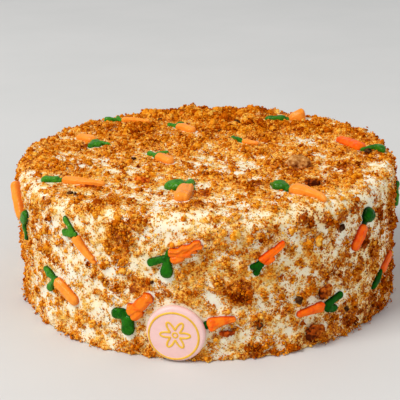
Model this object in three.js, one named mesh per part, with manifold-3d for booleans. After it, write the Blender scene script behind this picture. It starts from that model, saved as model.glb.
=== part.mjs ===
// A round carrot cake, 24 cm across and 8.4 cm tall: an uncut body under cream frosting, rolled in cake
// crumbs and bits of nut, with piped icing carrots on top and side and a round sugar medallion at its foot.
//
// Millimetres, +Z up. The origin is the centre of the flat underside and the front of the cake faces -Y.
// Bearing is the way round the side in degrees: 0 at the front, growing to the right (+X).

import * as THREE from 'three';
import { mergeVertices } from 'three/addons/utils/BufferGeometryUtils.js';
import Module from 'manifold-3d';

const wasm = await Module();
wasm.setup();

// ---------------------------------------------------------------------------------------------
// Driving dimensions
// ---------------------------------------------------------------------------------------------

const CAKE = {
  radius: 120,
  height: 84,
  rim: 9, // rounding of the top edge
  sway: 0.7, // how far the spread frosting strays from a true cylinder
};

const MESH = { around: 84, topRings: 7, rimSteps: 3, sideRings: 6 };

const GAP = 0.3; // between a topping and what it lies on

const PIPING = {
  corners: 5, // of the dome that a stroke shows in section
  rise: 0.7, // growth of the crest with the half width
  base: 0.9, // height of the thinnest crest
  ringStep: 4.2, // between the rings of a stroke
  cut: 0.35, // kept clear between a root and its leaves
  knot: 0.9, // how far behind the shoulder the leaves start
};

const CRUMB = {
  draws: 100, // places tried for a crumb nugget, spread evenly over the frosting
  least: 1.9, // radius of the smallest nugget
  spread: 1.5, // how much larger the largest is
  sunk: 0.25, // how deep a nugget's middle lies, as a share of its radius
  dent: 0.7, // depth of the pits between crumbs
  rise: 1.5, // height of the drifts of fine crumbs
  calm: 60, // radius inside which drifts and pits die away, as the corners draw together there
};

const NUT_SUNK = 0.4; // how deep a bit of nut lies, as a share of its radius

const SKIRT = { count: 34, least: 1.8, spread: 1.5 }; // the ring of fallen crumbs round the foot

const MEDALLION = {
  radius: 16.5,
  thickness: 4,
  edge: 1.6, // rounding of the front edge
  crown: 0.5, // how far the middle of the face stands above its edge
  foot: 0.6, // chamfer of the back edge
  facets: 32,
  bearing: -8.6,
  centreZ: 17.2,
  yaw: 2, // degrees that its right edge is turned outwards
};

const COLOURS = { crumb: 0xd9a15c, orange: 0xff8a2b, green: 0x1f7d2c, pink: 0xf3c9d3 };

// ---------------------------------------------------------------------------------------------
// Places on the frosting
// ---------------------------------------------------------------------------------------------

const radians = THREE.MathUtils.degToRad;

/** A place on the flat top, x to the right and y to the back. */
const onTop = (x, y) => ({ x, y });

/** A place on the side, by bearing in degrees and height above the underside. */
const onSide = (bearing, z) => ({ bearing, z });

/** The frosting's slow sway: waves that run round the cake and up it, and fade towards the top's middle. */
function sway(point) {
  const turn = Math.atan2(point.x, -point.y);
  const far = Math.min(Math.hypot(point.x, point.y) / CAKE.radius, 1) ** 2;
  const slow = Math.sin(2 * turn + 0.6) + 0.6 * Math.sin(3 * turn - 1.1 + point.z / 40);
  const quick = 0.5 * Math.sin(7 * turn + point.z / 22);
  return (CAKE.sway * far * (slow + quick)) / 2.1;
}

/**
 * The point of the frosting nearest to a point at or outside it, moved off it by lift.
 * The form is a cylinder whose top edge is rounded by CAKE.rim, shrunk a little by the sway.
 */
function onSkin(point, lift = 0) {
  const across = Math.hypot(point.x, point.y);
  const inner = { r: CAKE.radius - CAKE.rim, z: CAKE.height - CAKE.rim };
  let out = new THREE.Vector2(Math.max(across - inner.r, 0), Math.max(point.z - inner.z, 0));
  let base = new THREE.Vector2(Math.min(across, inner.r), Math.min(point.z, inner.z));
  out = out.lengthSq() < 1e-9 ? new THREE.Vector2(0, 1) : out.normalize();
  base = base.addScaledVector(out, CAKE.rim + lift + sway(point));
  const share = across < 1e-9 ? 0 : base.x / across;
  return new THREE.Vector3(point.x * share, point.y * share, base.y);
}

/** A flat patch of tangent plane at a place: its middle and the two ways along it for a heading. */
function patchAt(place, heading) {
  const flat = 'bearing' in place ? radians(place.bearing) : null;
  const middle =
    flat === null
      ? new THREE.Vector3(place.x, place.y, CAKE.height)
      : new THREE.Vector3(CAKE.radius * Math.sin(flat), -CAKE.radius * Math.cos(flat), place.z);
  const right = new THREE.Vector3(Math.cos(flat ?? 0), Math.sin(flat ?? 0), 0);
  const up = flat === null ? new THREE.Vector3(0, 1, 0) : new THREE.Vector3(0, 0, 1);
  const turn = radians(heading);
  const along = right.clone().multiplyScalar(Math.cos(turn)).addScaledVector(up, Math.sin(turn));
  const left = right.clone().multiplyScalar(-Math.sin(turn)).addScaledVector(up, Math.cos(turn));
  return { middle, along, left };
}

/** Lays patch coordinates (u along the heading, v to its left, lift off the frosting) on the cake. */
function lay(patch, u, v, lift) {
  const flat = patch.middle.clone().addScaledVector(patch.along, u).addScaledVector(patch.left, v);
  return onSkin(flat, lift);
}

// ---------------------------------------------------------------------------------------------
// Piped strokes: a dome-shaped bead of icing with a flat back, drawn along a curved line
// ---------------------------------------------------------------------------------------------

/** Builds a solid from vertices (THREE.Vector3) and triangles of vertex numbers. */
function solidFrom(points, triangles) {
  const vertProperties = new Float32Array(points.flatMap((p) => [p.x, p.y, p.z]));
  const triVerts = new Uint32Array(triangles.flat());
  return new wasm.Manifold(new wasm.Mesh({ numProp: 3, vertProperties, triVerts }));
}

/**
 * A stroke goes from start in the direction turn (degrees in its patch) for length, bowed sideways by bend.
 * Its half width runs from wide to narrow, plus belly at the middle. Its crest rises with the width, and
 * its end is heaped up by curl.
 */
function strokeLine(stroke, distance) {
  const t = distance / stroke.length;
  const turn = radians(stroke.turn);
  const arch = 4 * t * (1 - t);
  const bow = stroke.bend * arch;
  return {
    u: stroke.start.u + distance * Math.cos(turn) - bow * Math.sin(turn),
    v: stroke.start.v + distance * Math.sin(turn) + bow * Math.cos(turn),
    half: THREE.MathUtils.lerp(stroke.wide, stroke.narrow, t) + stroke.belly * arch,
    heap: stroke.curl * t,
  };
}

/** Distances along a stroke where its rings stand: close together at the round ends, then evenly apart. */
function ringDistances({ wide, narrow, length }) {
  const first = Math.min(wide, length * 0.4);
  const last = length - Math.min(narrow, length * 0.4);
  const middles = Math.round((last - first) / PIPING.ringStep);
  const even = Array.from({ length: middles }, (_, i) => first + ((last - first) * (i + 1)) / (middles + 1));
  return [first * 0.3, first, ...even, last, length - (length - last) * 0.3];
}

/** The closed bead of one stroke, as domes joined ring to ring with a point at each end, grown by grow. */
function bead(patch, stroke, grow = 0) {
  const { corners } = PIPING;
  const crestOf = ({ half, heap }) => PIPING.rise * half + PIPING.base + heap;
  const rings = ringDistances(stroke).map((distance) => {
    const at = strokeLine(stroke, distance);
    const next = strokeLine(stroke, Math.min(distance + 0.5, stroke.length));
    const prior = strokeLine(stroke, Math.max(distance - 0.5, 0));
    const way = Math.atan2(next.v - prior.v, next.u - prior.u);
    const fromEnd = Math.min(distance / stroke.wide, (stroke.length - distance) / stroke.narrow, 1);
    const round = Math.sqrt(1 - (1 - fromEnd) ** 2);
    const half = at.half * round + grow;
    return Array.from({ length: corners }, (_, i) => {
      const angle = (Math.PI * i) / (corners - 1);
      const side = half * Math.cos(angle);
      const lift = GAP - grow + (crestOf(at) * round + 2 * grow) * Math.sin(angle);
      return lay(patch, at.u - side * Math.sin(way), at.v + side * Math.cos(way), lift);
    });
  });
  const points = rings.flat();
  const triangles = [];
  for (let ring = 0; ring + 1 < rings.length; ring++) {
    for (let i = 0; i < corners; i++) {
      const [a, b] = [ring * corners + i, ring * corners + ((i + 1) % corners)];
      triangles.push([a, b, b + corners], [a, b + corners, a + corners]);
    }
  }
  for (const [ring, flip] of [[0, false], [rings.length - 1, true]]) {
    const end = strokeLine(stroke, flip ? stroke.length : 0);
    const out = (flip ? 1 : -1) * grow;
    const turn = radians(stroke.turn);
    const pole = points.length;
    const lift = GAP + (grow ? 0.4 : 0.5);
    points.push(lay(patch, end.u + out * Math.cos(turn), end.v + out * Math.sin(turn), lift));
    for (let i = 0; i < corners; i++) {
      const [a, b] = [ring * corners + i, ring * corners + ((i + 1) % corners)];
      triangles.push(flip ? [a, b, pole] : [b, a, pole]);
    }
  }
  return solidFrom(points, triangles);
}

// ---------------------------------------------------------------------------------------------
// The piped carrots
// ---------------------------------------------------------------------------------------------

// Each row: place of the shoulder, where root and leaves meet; heading of the root in degrees (on the side
// 0 is to the right and 90 is up); root [length, half width at the shoulder, half width at the tip, bend,
// belly, curl]; leaf lobes [turn from straight back, length, half width at the base, half width at the end,
// bend, belly, curl]. Bend bows a stroke sideways, belly widens its middle and curl heaps its end up higher.
// All three are 0 where left out.
const CARROTS = {
  top_01: [onTop(-61, 82.5), -16, [22, 3.4, 1.6, 1], [[15, 11, 2.2, 2.4], [-43, 7, 1.8, 2]]],
  top_02: [
    onTop(-75, 27.5), 140, [17, 4.2, 3, -2],
    [[-60, 12, 2.4, 2.2], [-30, 10, 3, 2.8], [12, 12.5, 2.2, 1, -1]],
  ],
  top_03: [onTop(-20, 63), -48, [18, 4, 3.2], [[6, 8.5, 1.3, 1.7], [-70, 11, 1.2, 1.4, 2]]],
  top_04: [onTop(-31, -9), -54, [16.5, 4.1, 3.2], [[2, 9.5, 1.5, 2.2], [-80, 11, 1.4, 1.8, 2.5]]],
  top_05: [onTop(-85.5, -53), -20, [28, 3, 1.4, 0.5], [[14, 12, 3, 2.8]]],
  top_06: [
    onTop(-11.5, -71.5), -98, [22, 4.3, 4],
    [[92, 13, 3.6, 4.2, 0, 0.6], [-4, 11, 2.2, 2.4], [-122, 6, 1.4, 1.4]],
  ],
  top_07: [onTop(24, 23), -37, [13, 2.4, 1.4], [[-24, 12.5, 1.8, 1.4]]],
  top_08: [onTop(59, 79), 2, [11, 2.8, 4.2, 0, 0, 4], [[-6, 16, 2.2, 1]]],
  top_09: [onTop(46.5, -78.5), -45, [26, 5.4, 1, 2.4], [[-4, 12.5, 2, 1, 0, 3.2]]],
  top_10: [onTop(100.5, 0), 117, [28, 4, 3.2], [[50, 12, 2.2, 2.6, 3, 0, 2]]],
  side_01: [onSide(-67.5, 57), 122, [24, 3.8, 2.2, 2], [[102, 12.5, 2.4, 2, 0, 1.4], [-10, 11.5, 1.8, 1.4]]],
  side_02: [onSide(-37.9, 65.6), -43, [20, 3.2, 1.8, -1], [[-7, 12, 1.6, 1.5], [48, 9.5, 2.2, 2.3]]],
  side_03: [onSide(-47.2, 33.2), -28, [21, 3.9, 3.4, 0.6], [[8, 12, 1.4, 1.2, 0, 1], [80, 12.5, 1.2, 2.8]]],
  side_04: [
    onSide(-9.9, 62), 25, [19.5, 4.2, 3, -0.6],
    [[60, 12.2, 1.8, 3.6], [-4, 12, 1.8, 1.8], [-125, 5, 1.8, 0.9]],
  ],
  side_05: [onSide(-21.6, 25.4), 44, [19, 5.8, 3, -0.6], [[-40, 10.5, 3, 2.8], [44, 13, 3.2, 3.6]]],
  side_06: [onSide(-0.6, 21.9), 11, [16.5, 4.3, 1.4, 0.6], [[-48, 2.3, 1.1, 0.9]]],
  side_07: [onSide(13.7, 56.7), 41, [17, 4.3, 1.5], [[-25, 6, 2, 1.9], [24, 7, 2, 1.9]]],
  side_08: [onSide(47.3, 64.8), -128, [16.5, 2.9, 2.9, 0.4], [[4, 9, 2.6, 2.8, 0, 1.8]]],
  side_09: [onSide(32.2, 23.2), -176, [18, 3.5, 2, -0.8], [[16, 14, 2.4, 1.9], [-22, 10, 2.6, 2.2, -1]]],
  side_10: [onSide(58.6, 26.8), 18, [19.5, 2.6, 2], [[12, 13, 2, 1.3, 0, 0.6]]],
  side_11: [onSide(83, 63), 6, [18, 3.2, 2], [[-42, 12, 2, 2.4], [42, 12, 2, 2.4]]],
  side_12: [onSide(101, 28), -30, [18, 3.8, 2, 1], [[-30, 11, 1.8, 2.2], [34, 9, 2, 2.2]]],
  side_13: [onSide(123, 60), 38, [19, 4, 2.2, -1], [[20, 12, 2, 1.8], [-40, 8, 1.8, 2.4]]],
  side_14: [onSide(146, 26), 160, [18, 3.8, 2, 1], [[-8, 12, 2, 1.4, 0, 1.2]]],
  side_15: [onSide(168, 63), -128, [17, 3.6, 2.4], [[28, 11, 1.8, 2], [-36, 10, 1.8, 2.2]]],
  side_16: [onSide(190, 27), 40, [18, 4.8, 2.4, -1.2], [[-38, 10, 2.6, 2.6], [32, 12, 2.4, 2.8]]],
  side_17: [onSide(213, 61), -36, [19, 3.6, 1.8], [[-6, 12, 2, 1.6], [44, 7, 1.8, 2.2]]],
  side_18: [onSide(237, 30), 150, [18, 3.8, 2.2, -1], [[24, 12, 2, 2], [-34, 9, 1.8, 2.4]]],
  side_19: [onSide(262, 60), 24, [18, 4, 2.4, 0.8], [[40, 10, 2, 2.6], [-24, 11, 1.8, 2]]],
};

/** The strokes of one carrot: its root from the shoulder on, and its leaf lobes going back from a knot. */
function strokesOf([, , root, lobes]) {
  const knot = { u: -PIPING.knot, v: 0 };
  const stroke = (start, turn, [length, wide, narrow, bend = 0, belly = 0, curl = 0]) => {
    return { start, turn, length, wide, narrow, bend, belly, curl };
  };
  return {
    root: stroke({ u: 0, v: 0 }, 0, root),
    lobes: lobes.map(([turn, ...sizes]) => stroke(knot, 180 + turn, sizes)),
  };
}

/** Round spots that together cover what lies on the frosting, used to keep crumbs clear of it. */
function spotsOf(patch, strokes) {
  return strokes.flatMap((stroke) =>
    [0.1, 0.35, 0.6, 0.85].map((share) => {
      const at = strokeLine(stroke, share * stroke.length);
      return { point: lay(patch, at.u, at.v, 0), reach: at.half + 0.4 };
    }),
  );
}

// ---------------------------------------------------------------------------------------------
// Crumbs
// ---------------------------------------------------------------------------------------------

/** A repeatable number from 0 to 1 for a whole number and a salt. */
function draw(number, salt) {
  const wave = Math.sin(number * 12.9898 + salt * 78.233) * 43758.5453;
  return wave - Math.floor(wave);
}

// Bits of nut among the crumbs: place, heading in degrees, length and radius.
const NUTS = [
  [onTop(57, -32), 20, 12, 3],
  [onTop(60, -73), -30, 9, 2.4],
  [onTop(-38, -59), -32, 10, 2],
  [onSide(29.3, 9), 24, 13, 3.4],
  [onSide(32.7, 32), 42, 11, 2.8],
  [onSide(30, 64), 80, 7, 2.2],
  [onSide(7, 74), 30, 6, 2.2],
];

/** A nugget of crumb: an icosahedron with uneven corners, kept above the underside. */
function nugget(middle, radius, number) {
  const shape = new THREE.IcosahedronGeometry(1, 0);
  shape.deleteAttribute('normal');
  shape.deleteAttribute('uv');
  const closed = mergeVertices(shape, 1e-4);
  const corners = closed.getAttribute('position');
  const points = Array.from({ length: corners.count }, (_, i) => {
    const corner = new THREE.Vector3().fromBufferAttribute(corners, i);
    corner.multiplyScalar(radius * (0.78 + 0.44 * draw(number * 12 + i, 3))).add(middle);
    corner.z = Math.max(corner.z, 0);
    return corner;
  });
  const faces = Array.from(closed.index.array);
  const triangles = Array.from({ length: faces.length / 3 }, (_, i) => faces.slice(i * 3, i * 3 + 3));
  return solidFrom(points, triangles);
}

/** A bit of nut: nuggets in a row along its heading, so that it is longer than it is wide. */
function nutBit([place, heading, length, radius], index) {
  const patch = patchAt(place, heading);
  const count = Math.max(2, Math.round(length / radius) - 1);
  return Array.from({ length: count }, (_, i) => {
    const along = (length / 2 - radius) * ((2 * i) / (count - 1) - 1);
    const middle = lay(patch, along, 0, (1 - 2 * NUT_SUNK) * radius * 0.5);
    return nugget(middle, radius, 2000 + 10 * index + i);
  });
}

/** The place of draw number n, evenly spread over top and side by a two-dimensional golden-ratio rule. */
function spreadPlace(number) {
  const [stepA, stepB] = [0.7548776662, 0.5698402910];
  const [a, b] = [(0.5 + stepA * number) % 1, (0.5 + stepB * number) % 1];
  const topShare = CAKE.radius / (CAKE.radius + 2 * CAKE.height);
  const turn = 2 * Math.PI * b;
  if (a < topShare) {
    const across = CAKE.radius * Math.sqrt(a / topShare);
    return new THREE.Vector3(across * Math.sin(turn), -across * Math.cos(turn), CAKE.height);
  }
  const z = CAKE.height * (1 - (a - topShare) / (1 - topShare));
  return new THREE.Vector3(CAKE.radius * Math.sin(turn), -CAKE.radius * Math.cos(turn), z);
}

/** How far a point is from everything that lies on the frosting, in millimetres. */
function clearance(point, spots) {
  return Math.min(...spots.map((spot) => spot.point.distanceTo(point) - spot.reach));
}

/** Crumb nuggets that lie where nothing else does, over top and side and in a skirt round the foot. */
function nuggets(spots) {
  const made = NUTS.flatMap(nutBit);
  for (let n = 0; n < CRUMB.draws; n++) {
    const radius = CRUMB.least + CRUMB.spread * draw(n, 1) ** 2;
    const place = onSkin(spreadPlace(n), 0);
    const room = clearance(place, spots) - radius * 1.22;
    const middle = onSkin(spreadPlace(n), -CRUMB.sunk * radius);
    if (room > 0.6 && place.z > 2 * radius) made.push(nugget(middle, radius, n));
  }
  for (let n = 0; n < SKIRT.count; n++) {
    const radius = SKIRT.least + SKIRT.spread * draw(n, 5);
    const turn = (2 * Math.PI * (n + 0.6 * draw(n, 6))) / SKIRT.count;
    const foot = new THREE.Vector3(CAKE.radius * Math.sin(turn), -CAKE.radius * Math.cos(turn), radius * 0.7);
    if (clearance(foot, spots) - radius * 1.22 > 0.6) made.push(nugget(onSkin(foot, 0.3), radius, 1000 + n));
  }
  return made;
}

// ---------------------------------------------------------------------------------------------
// The frosted body
// ---------------------------------------------------------------------------------------------

/** The outline from the middle of the underside, up the side, round the rim and in to the top's middle. */
function outline() {
  const { radius, height, rim } = CAKE;
  const points = [new THREE.Vector2(0, 0)];
  for (let i = 0; i <= MESH.sideRings; i++) {
    points.push(new THREE.Vector2(radius, ((height - rim) * i) / MESH.sideRings));
  }
  for (let i = 1; i <= MESH.rimSteps; i++) {
    const angle = (Math.PI / 2) * (i / MESH.rimSteps);
    const out = new THREE.Vector2(Math.cos(angle), Math.sin(angle)).multiplyScalar(rim);
    points.push(out.add(new THREE.Vector2(radius - rim, height - rim)));
  }
  for (let i = MESH.topRings - 1; i >= 0; i--) {
    points.push(new THREE.Vector2(((radius - rim) * i) / MESH.topRings, height));
  }
  return points;
}

/** The body as a lathed solid whose skin sways, with drifts and pits of crumb wherever no topping lies. */
function body(spots) {
  const lathe = new THREE.LatheGeometry(outline(), MESH.around).rotateX(Math.PI / 2);
  lathe.deleteAttribute('normal');
  lathe.deleteAttribute('uv');
  const closed = mergeVertices(lathe, 1e-4);
  const corners = closed.getAttribute('position');
  const points = Array.from({ length: corners.count }, (_, i) => {
    const corner = new THREE.Vector3().fromBufferAttribute(corners, i);
    if (corner.z < 0.01 && Math.hypot(corner.x, corner.y) < CAKE.radius / 2) return corner.setZ(0);
    const bare = THREE.MathUtils.smoothstep(clearance(corner, spots), 9, 16);
    const calm = Math.min(Math.hypot(corner.x, corner.y) / CRUMB.calm, 1) ** 2;
    const skin = onSkin(corner, bare * calm * THREE.MathUtils.lerp(-CRUMB.dent, CRUMB.rise, draw(i, 2)));
    return corner.z < 0.01 ? skin.setZ(0) : skin;
  });
  const faces = Array.from(closed.index.array);
  const triangles = [];
  for (let i = 0; i < faces.length; i += 3) {
    const [a, b, c] = faces.slice(i, i + 3);
    if (a !== b && b !== c && c !== a) triangles.push([a, b, c]);
  }
  return solidFrom(points, triangles);
}

// ---------------------------------------------------------------------------------------------
// The sugar medallion
// ---------------------------------------------------------------------------------------------

/** A round tablet with a flat back, a rounded edge and a slightly crowned face, axis along +Y. */
function tablet() {
  const { radius, thickness, edge, crown, foot } = MEDALLION;
  const face = [0, 45, 90].map((degrees) => {
    const angle = radians(degrees);
    const out = new THREE.Vector2(Math.cos(angle), Math.sin(angle)).multiplyScalar(edge);
    return out.add(new THREE.Vector2(radius - edge, thickness - crown - edge));
  });
  const back = [[0, 0], [radius - foot, 0], [radius, foot]].map(([r, z]) => new THREE.Vector2(r, z));
  return new THREE.LatheGeometry([...back, ...face, new THREE.Vector2(0, thickness)], MEDALLION.facets);
}

/** Stands the medallion upright against the side. */
function placeMedallion(mesh) {
  const turn = radians(MEDALLION.bearing);
  const outward = new THREE.Vector3(Math.sin(turn), -Math.cos(turn), 0);
  const beside = outward.clone().multiplyScalar(CAKE.radius).setZ(MEDALLION.centreZ);
  outward.applyAxisAngle(new THREE.Vector3(0, 0, 1), radians(-MEDALLION.yaw));
  mesh.position.copy(onSkin(beside, 2 * GAP));
  mesh.quaternion.setFromUnitVectors(new THREE.Vector3(0, 1, 0), outward);
  return mesh;
}

// ---------------------------------------------------------------------------------------------
// Assembly
// ---------------------------------------------------------------------------------------------

/** A flat-shaded mesh of a solid. */
function meshOf(name, solid, material) {
  const { vertProperties, triVerts, numProp } = solid.getMesh();
  const positions = new Float32Array((vertProperties.length / numProp) * 3);
  for (let i = 0; i < positions.length / 3; i++) {
    positions.set(vertProperties.subarray(i * numProp, i * numProp + 3), i * 3);
  }
  const geometry = new THREE.BufferGeometry();
  geometry.setAttribute('position', new THREE.BufferAttribute(positions, 3));
  geometry.setIndex(new THREE.BufferAttribute(new Uint32Array(triVerts), 1));
  const mesh = new THREE.Mesh(geometry, material);
  mesh.name = name;
  return mesh;
}

const paint = (color, roughness) => new THREE.MeshStandardMaterial({ color, roughness, flatShading: true });
const orangeIcing = paint(COLOURS.orange, 0.4);
const greenIcing = paint(COLOURS.green, 0.3);

const cake = new THREE.Group();
cake.name = 'carrot_cake';

const spots = [];
for (const [name, row] of Object.entries(CARROTS)) {
  const patch = patchAt(row[0], row[1]);
  const { root, lobes } = strokesOf(row);
  const leaf = wasm.Manifold.union(lobes.map((lobe) => bead(patch, lobe)));
  cake.add(meshOf(`root_${name}`, bead(patch, root), orangeIcing));
  cake.add(meshOf(`leaf_${name}`, leaf.subtract(bead(patch, root, PIPING.cut)), greenIcing));
  spots.push(...spotsOf(patch, [root, ...lobes]));
}

const medallion = placeMedallion(new THREE.Mesh(tablet(), paint(COLOURS.pink, 0.35)));
medallion.name = 'medallion';
cake.add(medallion);
spots.push({ point: medallion.position.clone(), reach: MEDALLION.radius + 1.2 });

const crumbed = wasm.Manifold.union([body(spots), ...nuggets(spots)]);
cake.add(meshOf('frosted_cake', crumbed, paint(COLOURS.crumb, 0.85)));

export default cake;
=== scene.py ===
# %% [markdown]
# # A crumbed carrot cake
# A round cake, 24 cm across, is spread with cream frosting and rolled in golden cake crumbs while the
# cream is still soft. Small carrots are piped on it in orange and green icing, and a pink sugar medallion
# stands at its foot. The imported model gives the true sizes, and every piece below is laid over it.

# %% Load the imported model
import math

import bpy
import numpy as np
from mathutils import Matrix, Vector


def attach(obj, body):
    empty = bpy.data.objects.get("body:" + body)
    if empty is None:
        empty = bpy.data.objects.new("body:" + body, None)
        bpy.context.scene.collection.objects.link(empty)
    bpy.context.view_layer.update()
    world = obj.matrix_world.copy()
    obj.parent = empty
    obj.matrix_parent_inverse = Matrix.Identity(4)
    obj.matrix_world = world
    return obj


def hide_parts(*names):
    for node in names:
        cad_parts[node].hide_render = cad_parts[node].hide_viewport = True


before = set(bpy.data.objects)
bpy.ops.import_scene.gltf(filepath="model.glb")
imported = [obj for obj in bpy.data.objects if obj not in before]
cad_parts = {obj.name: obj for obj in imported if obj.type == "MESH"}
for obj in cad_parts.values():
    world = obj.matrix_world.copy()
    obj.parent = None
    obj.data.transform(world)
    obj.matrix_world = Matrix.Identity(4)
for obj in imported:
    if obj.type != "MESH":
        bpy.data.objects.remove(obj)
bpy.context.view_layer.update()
MM = 0.001  # metres
print("packed nodes:", len(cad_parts))

# %% [markdown]
# ## From arrays to pieces
# A shape is worked out as whole arrays of points in millimetres and of faces, and then put into a mesh in
# one go. That is quicker than adding vertices one at a time, and it keeps the formulas easy to read.

# %% Make a mesh and a piece from arrays


def mesh_from(name, points, faces, smooth=True):
    """A mesh from points in millimetres and an array of faces that have equally many corners."""
    mesh = bpy.data.meshes.new(name)
    points = np.asarray(points, dtype=np.float32).reshape(-1, 3) * MM
    faces = np.asarray(faces, dtype=np.int32)
    mesh.vertices.add(len(points))
    mesh.vertices.foreach_set("co", points.ravel())
    mesh.loops.add(faces.size)
    mesh.loops.foreach_set("vertex_index", faces.ravel())
    mesh.polygons.add(len(faces))
    mesh.polygons.foreach_set("loop_start", np.arange(0, faces.size, faces.shape[1], dtype=np.int32))
    mesh.polygons.foreach_set("use_smooth", np.full(len(faces), smooth))
    mesh.update(calc_edges=True)
    return mesh


def note(mesh, name, values):
    """Stores one number for each vertex, for a material to read by that name."""
    layer = mesh.attributes.new(name, "FLOAT", "POINT")
    layer.data.foreach_set("value", np.asarray(values, dtype=np.float32).ravel())


def placed(name, data):
    """A new object of that data, put into the scene."""
    thing = bpy.data.objects.new(name, data)
    bpy.context.scene.collection.objects.link(thing)
    return thing


def piece(mesh, material, slot, *nodes):
    """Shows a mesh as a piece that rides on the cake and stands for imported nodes."""
    thing = placed(mesh.name, mesh)
    mesh.materials.append(material)
    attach(thing, "root")
    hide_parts(*nodes)


def on_cake(mesh, material):
    """Shows a mesh as one of the pieces that make up the crumbed cake."""
    piece(mesh, material, "crumbed_frosting", "frosted_cake")


print("one millimetre is", MM, "of Blender's metres")


# %% [markdown]
# ## The form of the frosting
# The cake is a cylinder with a rounded top edge. Spread cream is never quite true, so a slow sway of a
# few tenths of a millimetre runs round it. One function moves any point onto this skin, and every crumb
# and carrot uses it too, so that all of them lie on the cream wherever it sways.

# %% The skin of the cake
RADIUS, HEIGHT, RIM, SWAY = 120.0, 84.0, 9.0, 0.7  # millimetres; RIM is the radius of the top edge


def sway(points):
    """Three sine waves round the cake and up it, times the square of the distance from the axis."""
    turn = np.arctan2(points[..., 0], -points[..., 1])
    far = np.minimum(np.hypot(points[..., 0], points[..., 1]) / RADIUS, 1) ** 2
    slow = np.sin(2 * turn + 0.6) + 0.6 * np.sin(3 * turn - 1.1 + points[..., 2] / 40)
    quick = 0.5 * np.sin(7 * turn + points[..., 2] / 22)
    return SWAY * far * (slow + quick) / 2.1


def on_skin(points, lift=0.0):
    """The point of the rounded cylinder nearest to each point, moved off it by lift plus the sway."""
    across = np.hypot(points[..., 0], points[..., 1])
    out_r = np.maximum(across - (RADIUS - RIM), 0)
    out_z = np.maximum(points[..., 2] - (HEIGHT - RIM), 0)
    size = np.hypot(out_r, out_z)
    inside = size < 1e-6
    size = np.maximum(size, 1e-6)
    out_r, out_z = np.where(inside, 0, out_r / size), np.where(inside, 1, out_z / size)
    off = RIM + lift + sway(points)
    new_r = np.minimum(across, RADIUS - RIM) + out_r * off
    new_z = np.minimum(points[..., 2], HEIGHT - RIM) + out_z * off
    share = new_r / np.maximum(across, 1e-9)
    return np.stack([points[..., 0] * share, points[..., 1] * share, new_z], axis=-1)


print("middle of the top: %.2f mm high" % on_skin(np.array([0.0, 0.0, HEIGHT]))[2])

# %% [markdown]
# A place on the cake can also be told by two numbers: how far it is up the side, over the rim and in
# towards the middle, as a tape measure would lie, and its turn about the axis. Crumbs are spread in these
# two numbers, because equal steps in them are equal steps on the cream.

# %% Measure along the skin
RISE, ARC = HEIGHT - RIM, RIM * math.pi / 2
TAPE = RISE + ARC + RADIUS - RIM


def along(tape, turn):
    """Straight up the side, a quarter circle over the rim, then straight in to the axis."""
    angle = np.clip((tape - RISE) / RIM, 0, math.pi / 2)
    inward = np.clip(tape - RISE - ARC, 0, RADIUS - RIM)
    r = RADIUS - RIM + RIM * np.cos(angle) - inward
    z = np.minimum(tape, RISE) + RIM * np.sin(angle)
    r, z, turn = np.broadcast_arrays(r, z, turn)
    return np.stack([r * np.sin(turn), -r * np.cos(turn), z], axis=-1)


print("tape from foot to middle of the top: %.1f mm" % TAPE)

# %% [markdown]
# ## Smooth random fields
# Crumbs fall in drifts and leave bare patches, and cream keeps soft marks of the spatula. Both come from a
# smooth random field: many cosine waves in random directions, added up. The seed fixes the draw.

# %% Mottle
WAVES = 24


def mottle(points, size, seed, stretch=(1, 1, 1)):
    """Sum of cosine waves with wavelengths near size, divided so that its usual height is about 1."""
    rng = np.random.default_rng(seed)
    ways = rng.normal(size=(WAVES, 3))
    ways /= np.linalg.norm(ways, axis=1, keepdims=True) * np.asarray(stretch)
    waves = ways * 2 * np.pi / (size * rng.uniform(0.7, 1.5, (WAVES, 1)))
    phases = rng.uniform(0, 2 * np.pi, WAVES)
    total = np.zeros(points.shape[:-1])
    for wave, phase in zip(waves, phases):
        total += np.cos(points @ wave + phase)
    return total / math.sqrt(WAVES / 2)


def smooth_step(values, low, high):
    """0 below low, 1 above high, and an S-shaped rise between them."""
    t = np.clip((values - low) / (high - low), 0, 1)
    return t * t * (3 - 2 * t)


print("usual height of a mottle: %.2f" % mottle(along(np.linspace(0, TAPE, 500), 0.0), 10, 1).std())

# %% [markdown]
# ## Where the carrots lie
# Each piped carrot is a few strokes of the icing bag: one for the root and one for each leaf lobe. A
# stroke is drawn in a flat patch of paper held against the cake and is then laid on the skin, so one
# row of numbers tells the whole carrot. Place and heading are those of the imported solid, and the shapes of
# some strokes are told a little more finely here.

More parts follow.
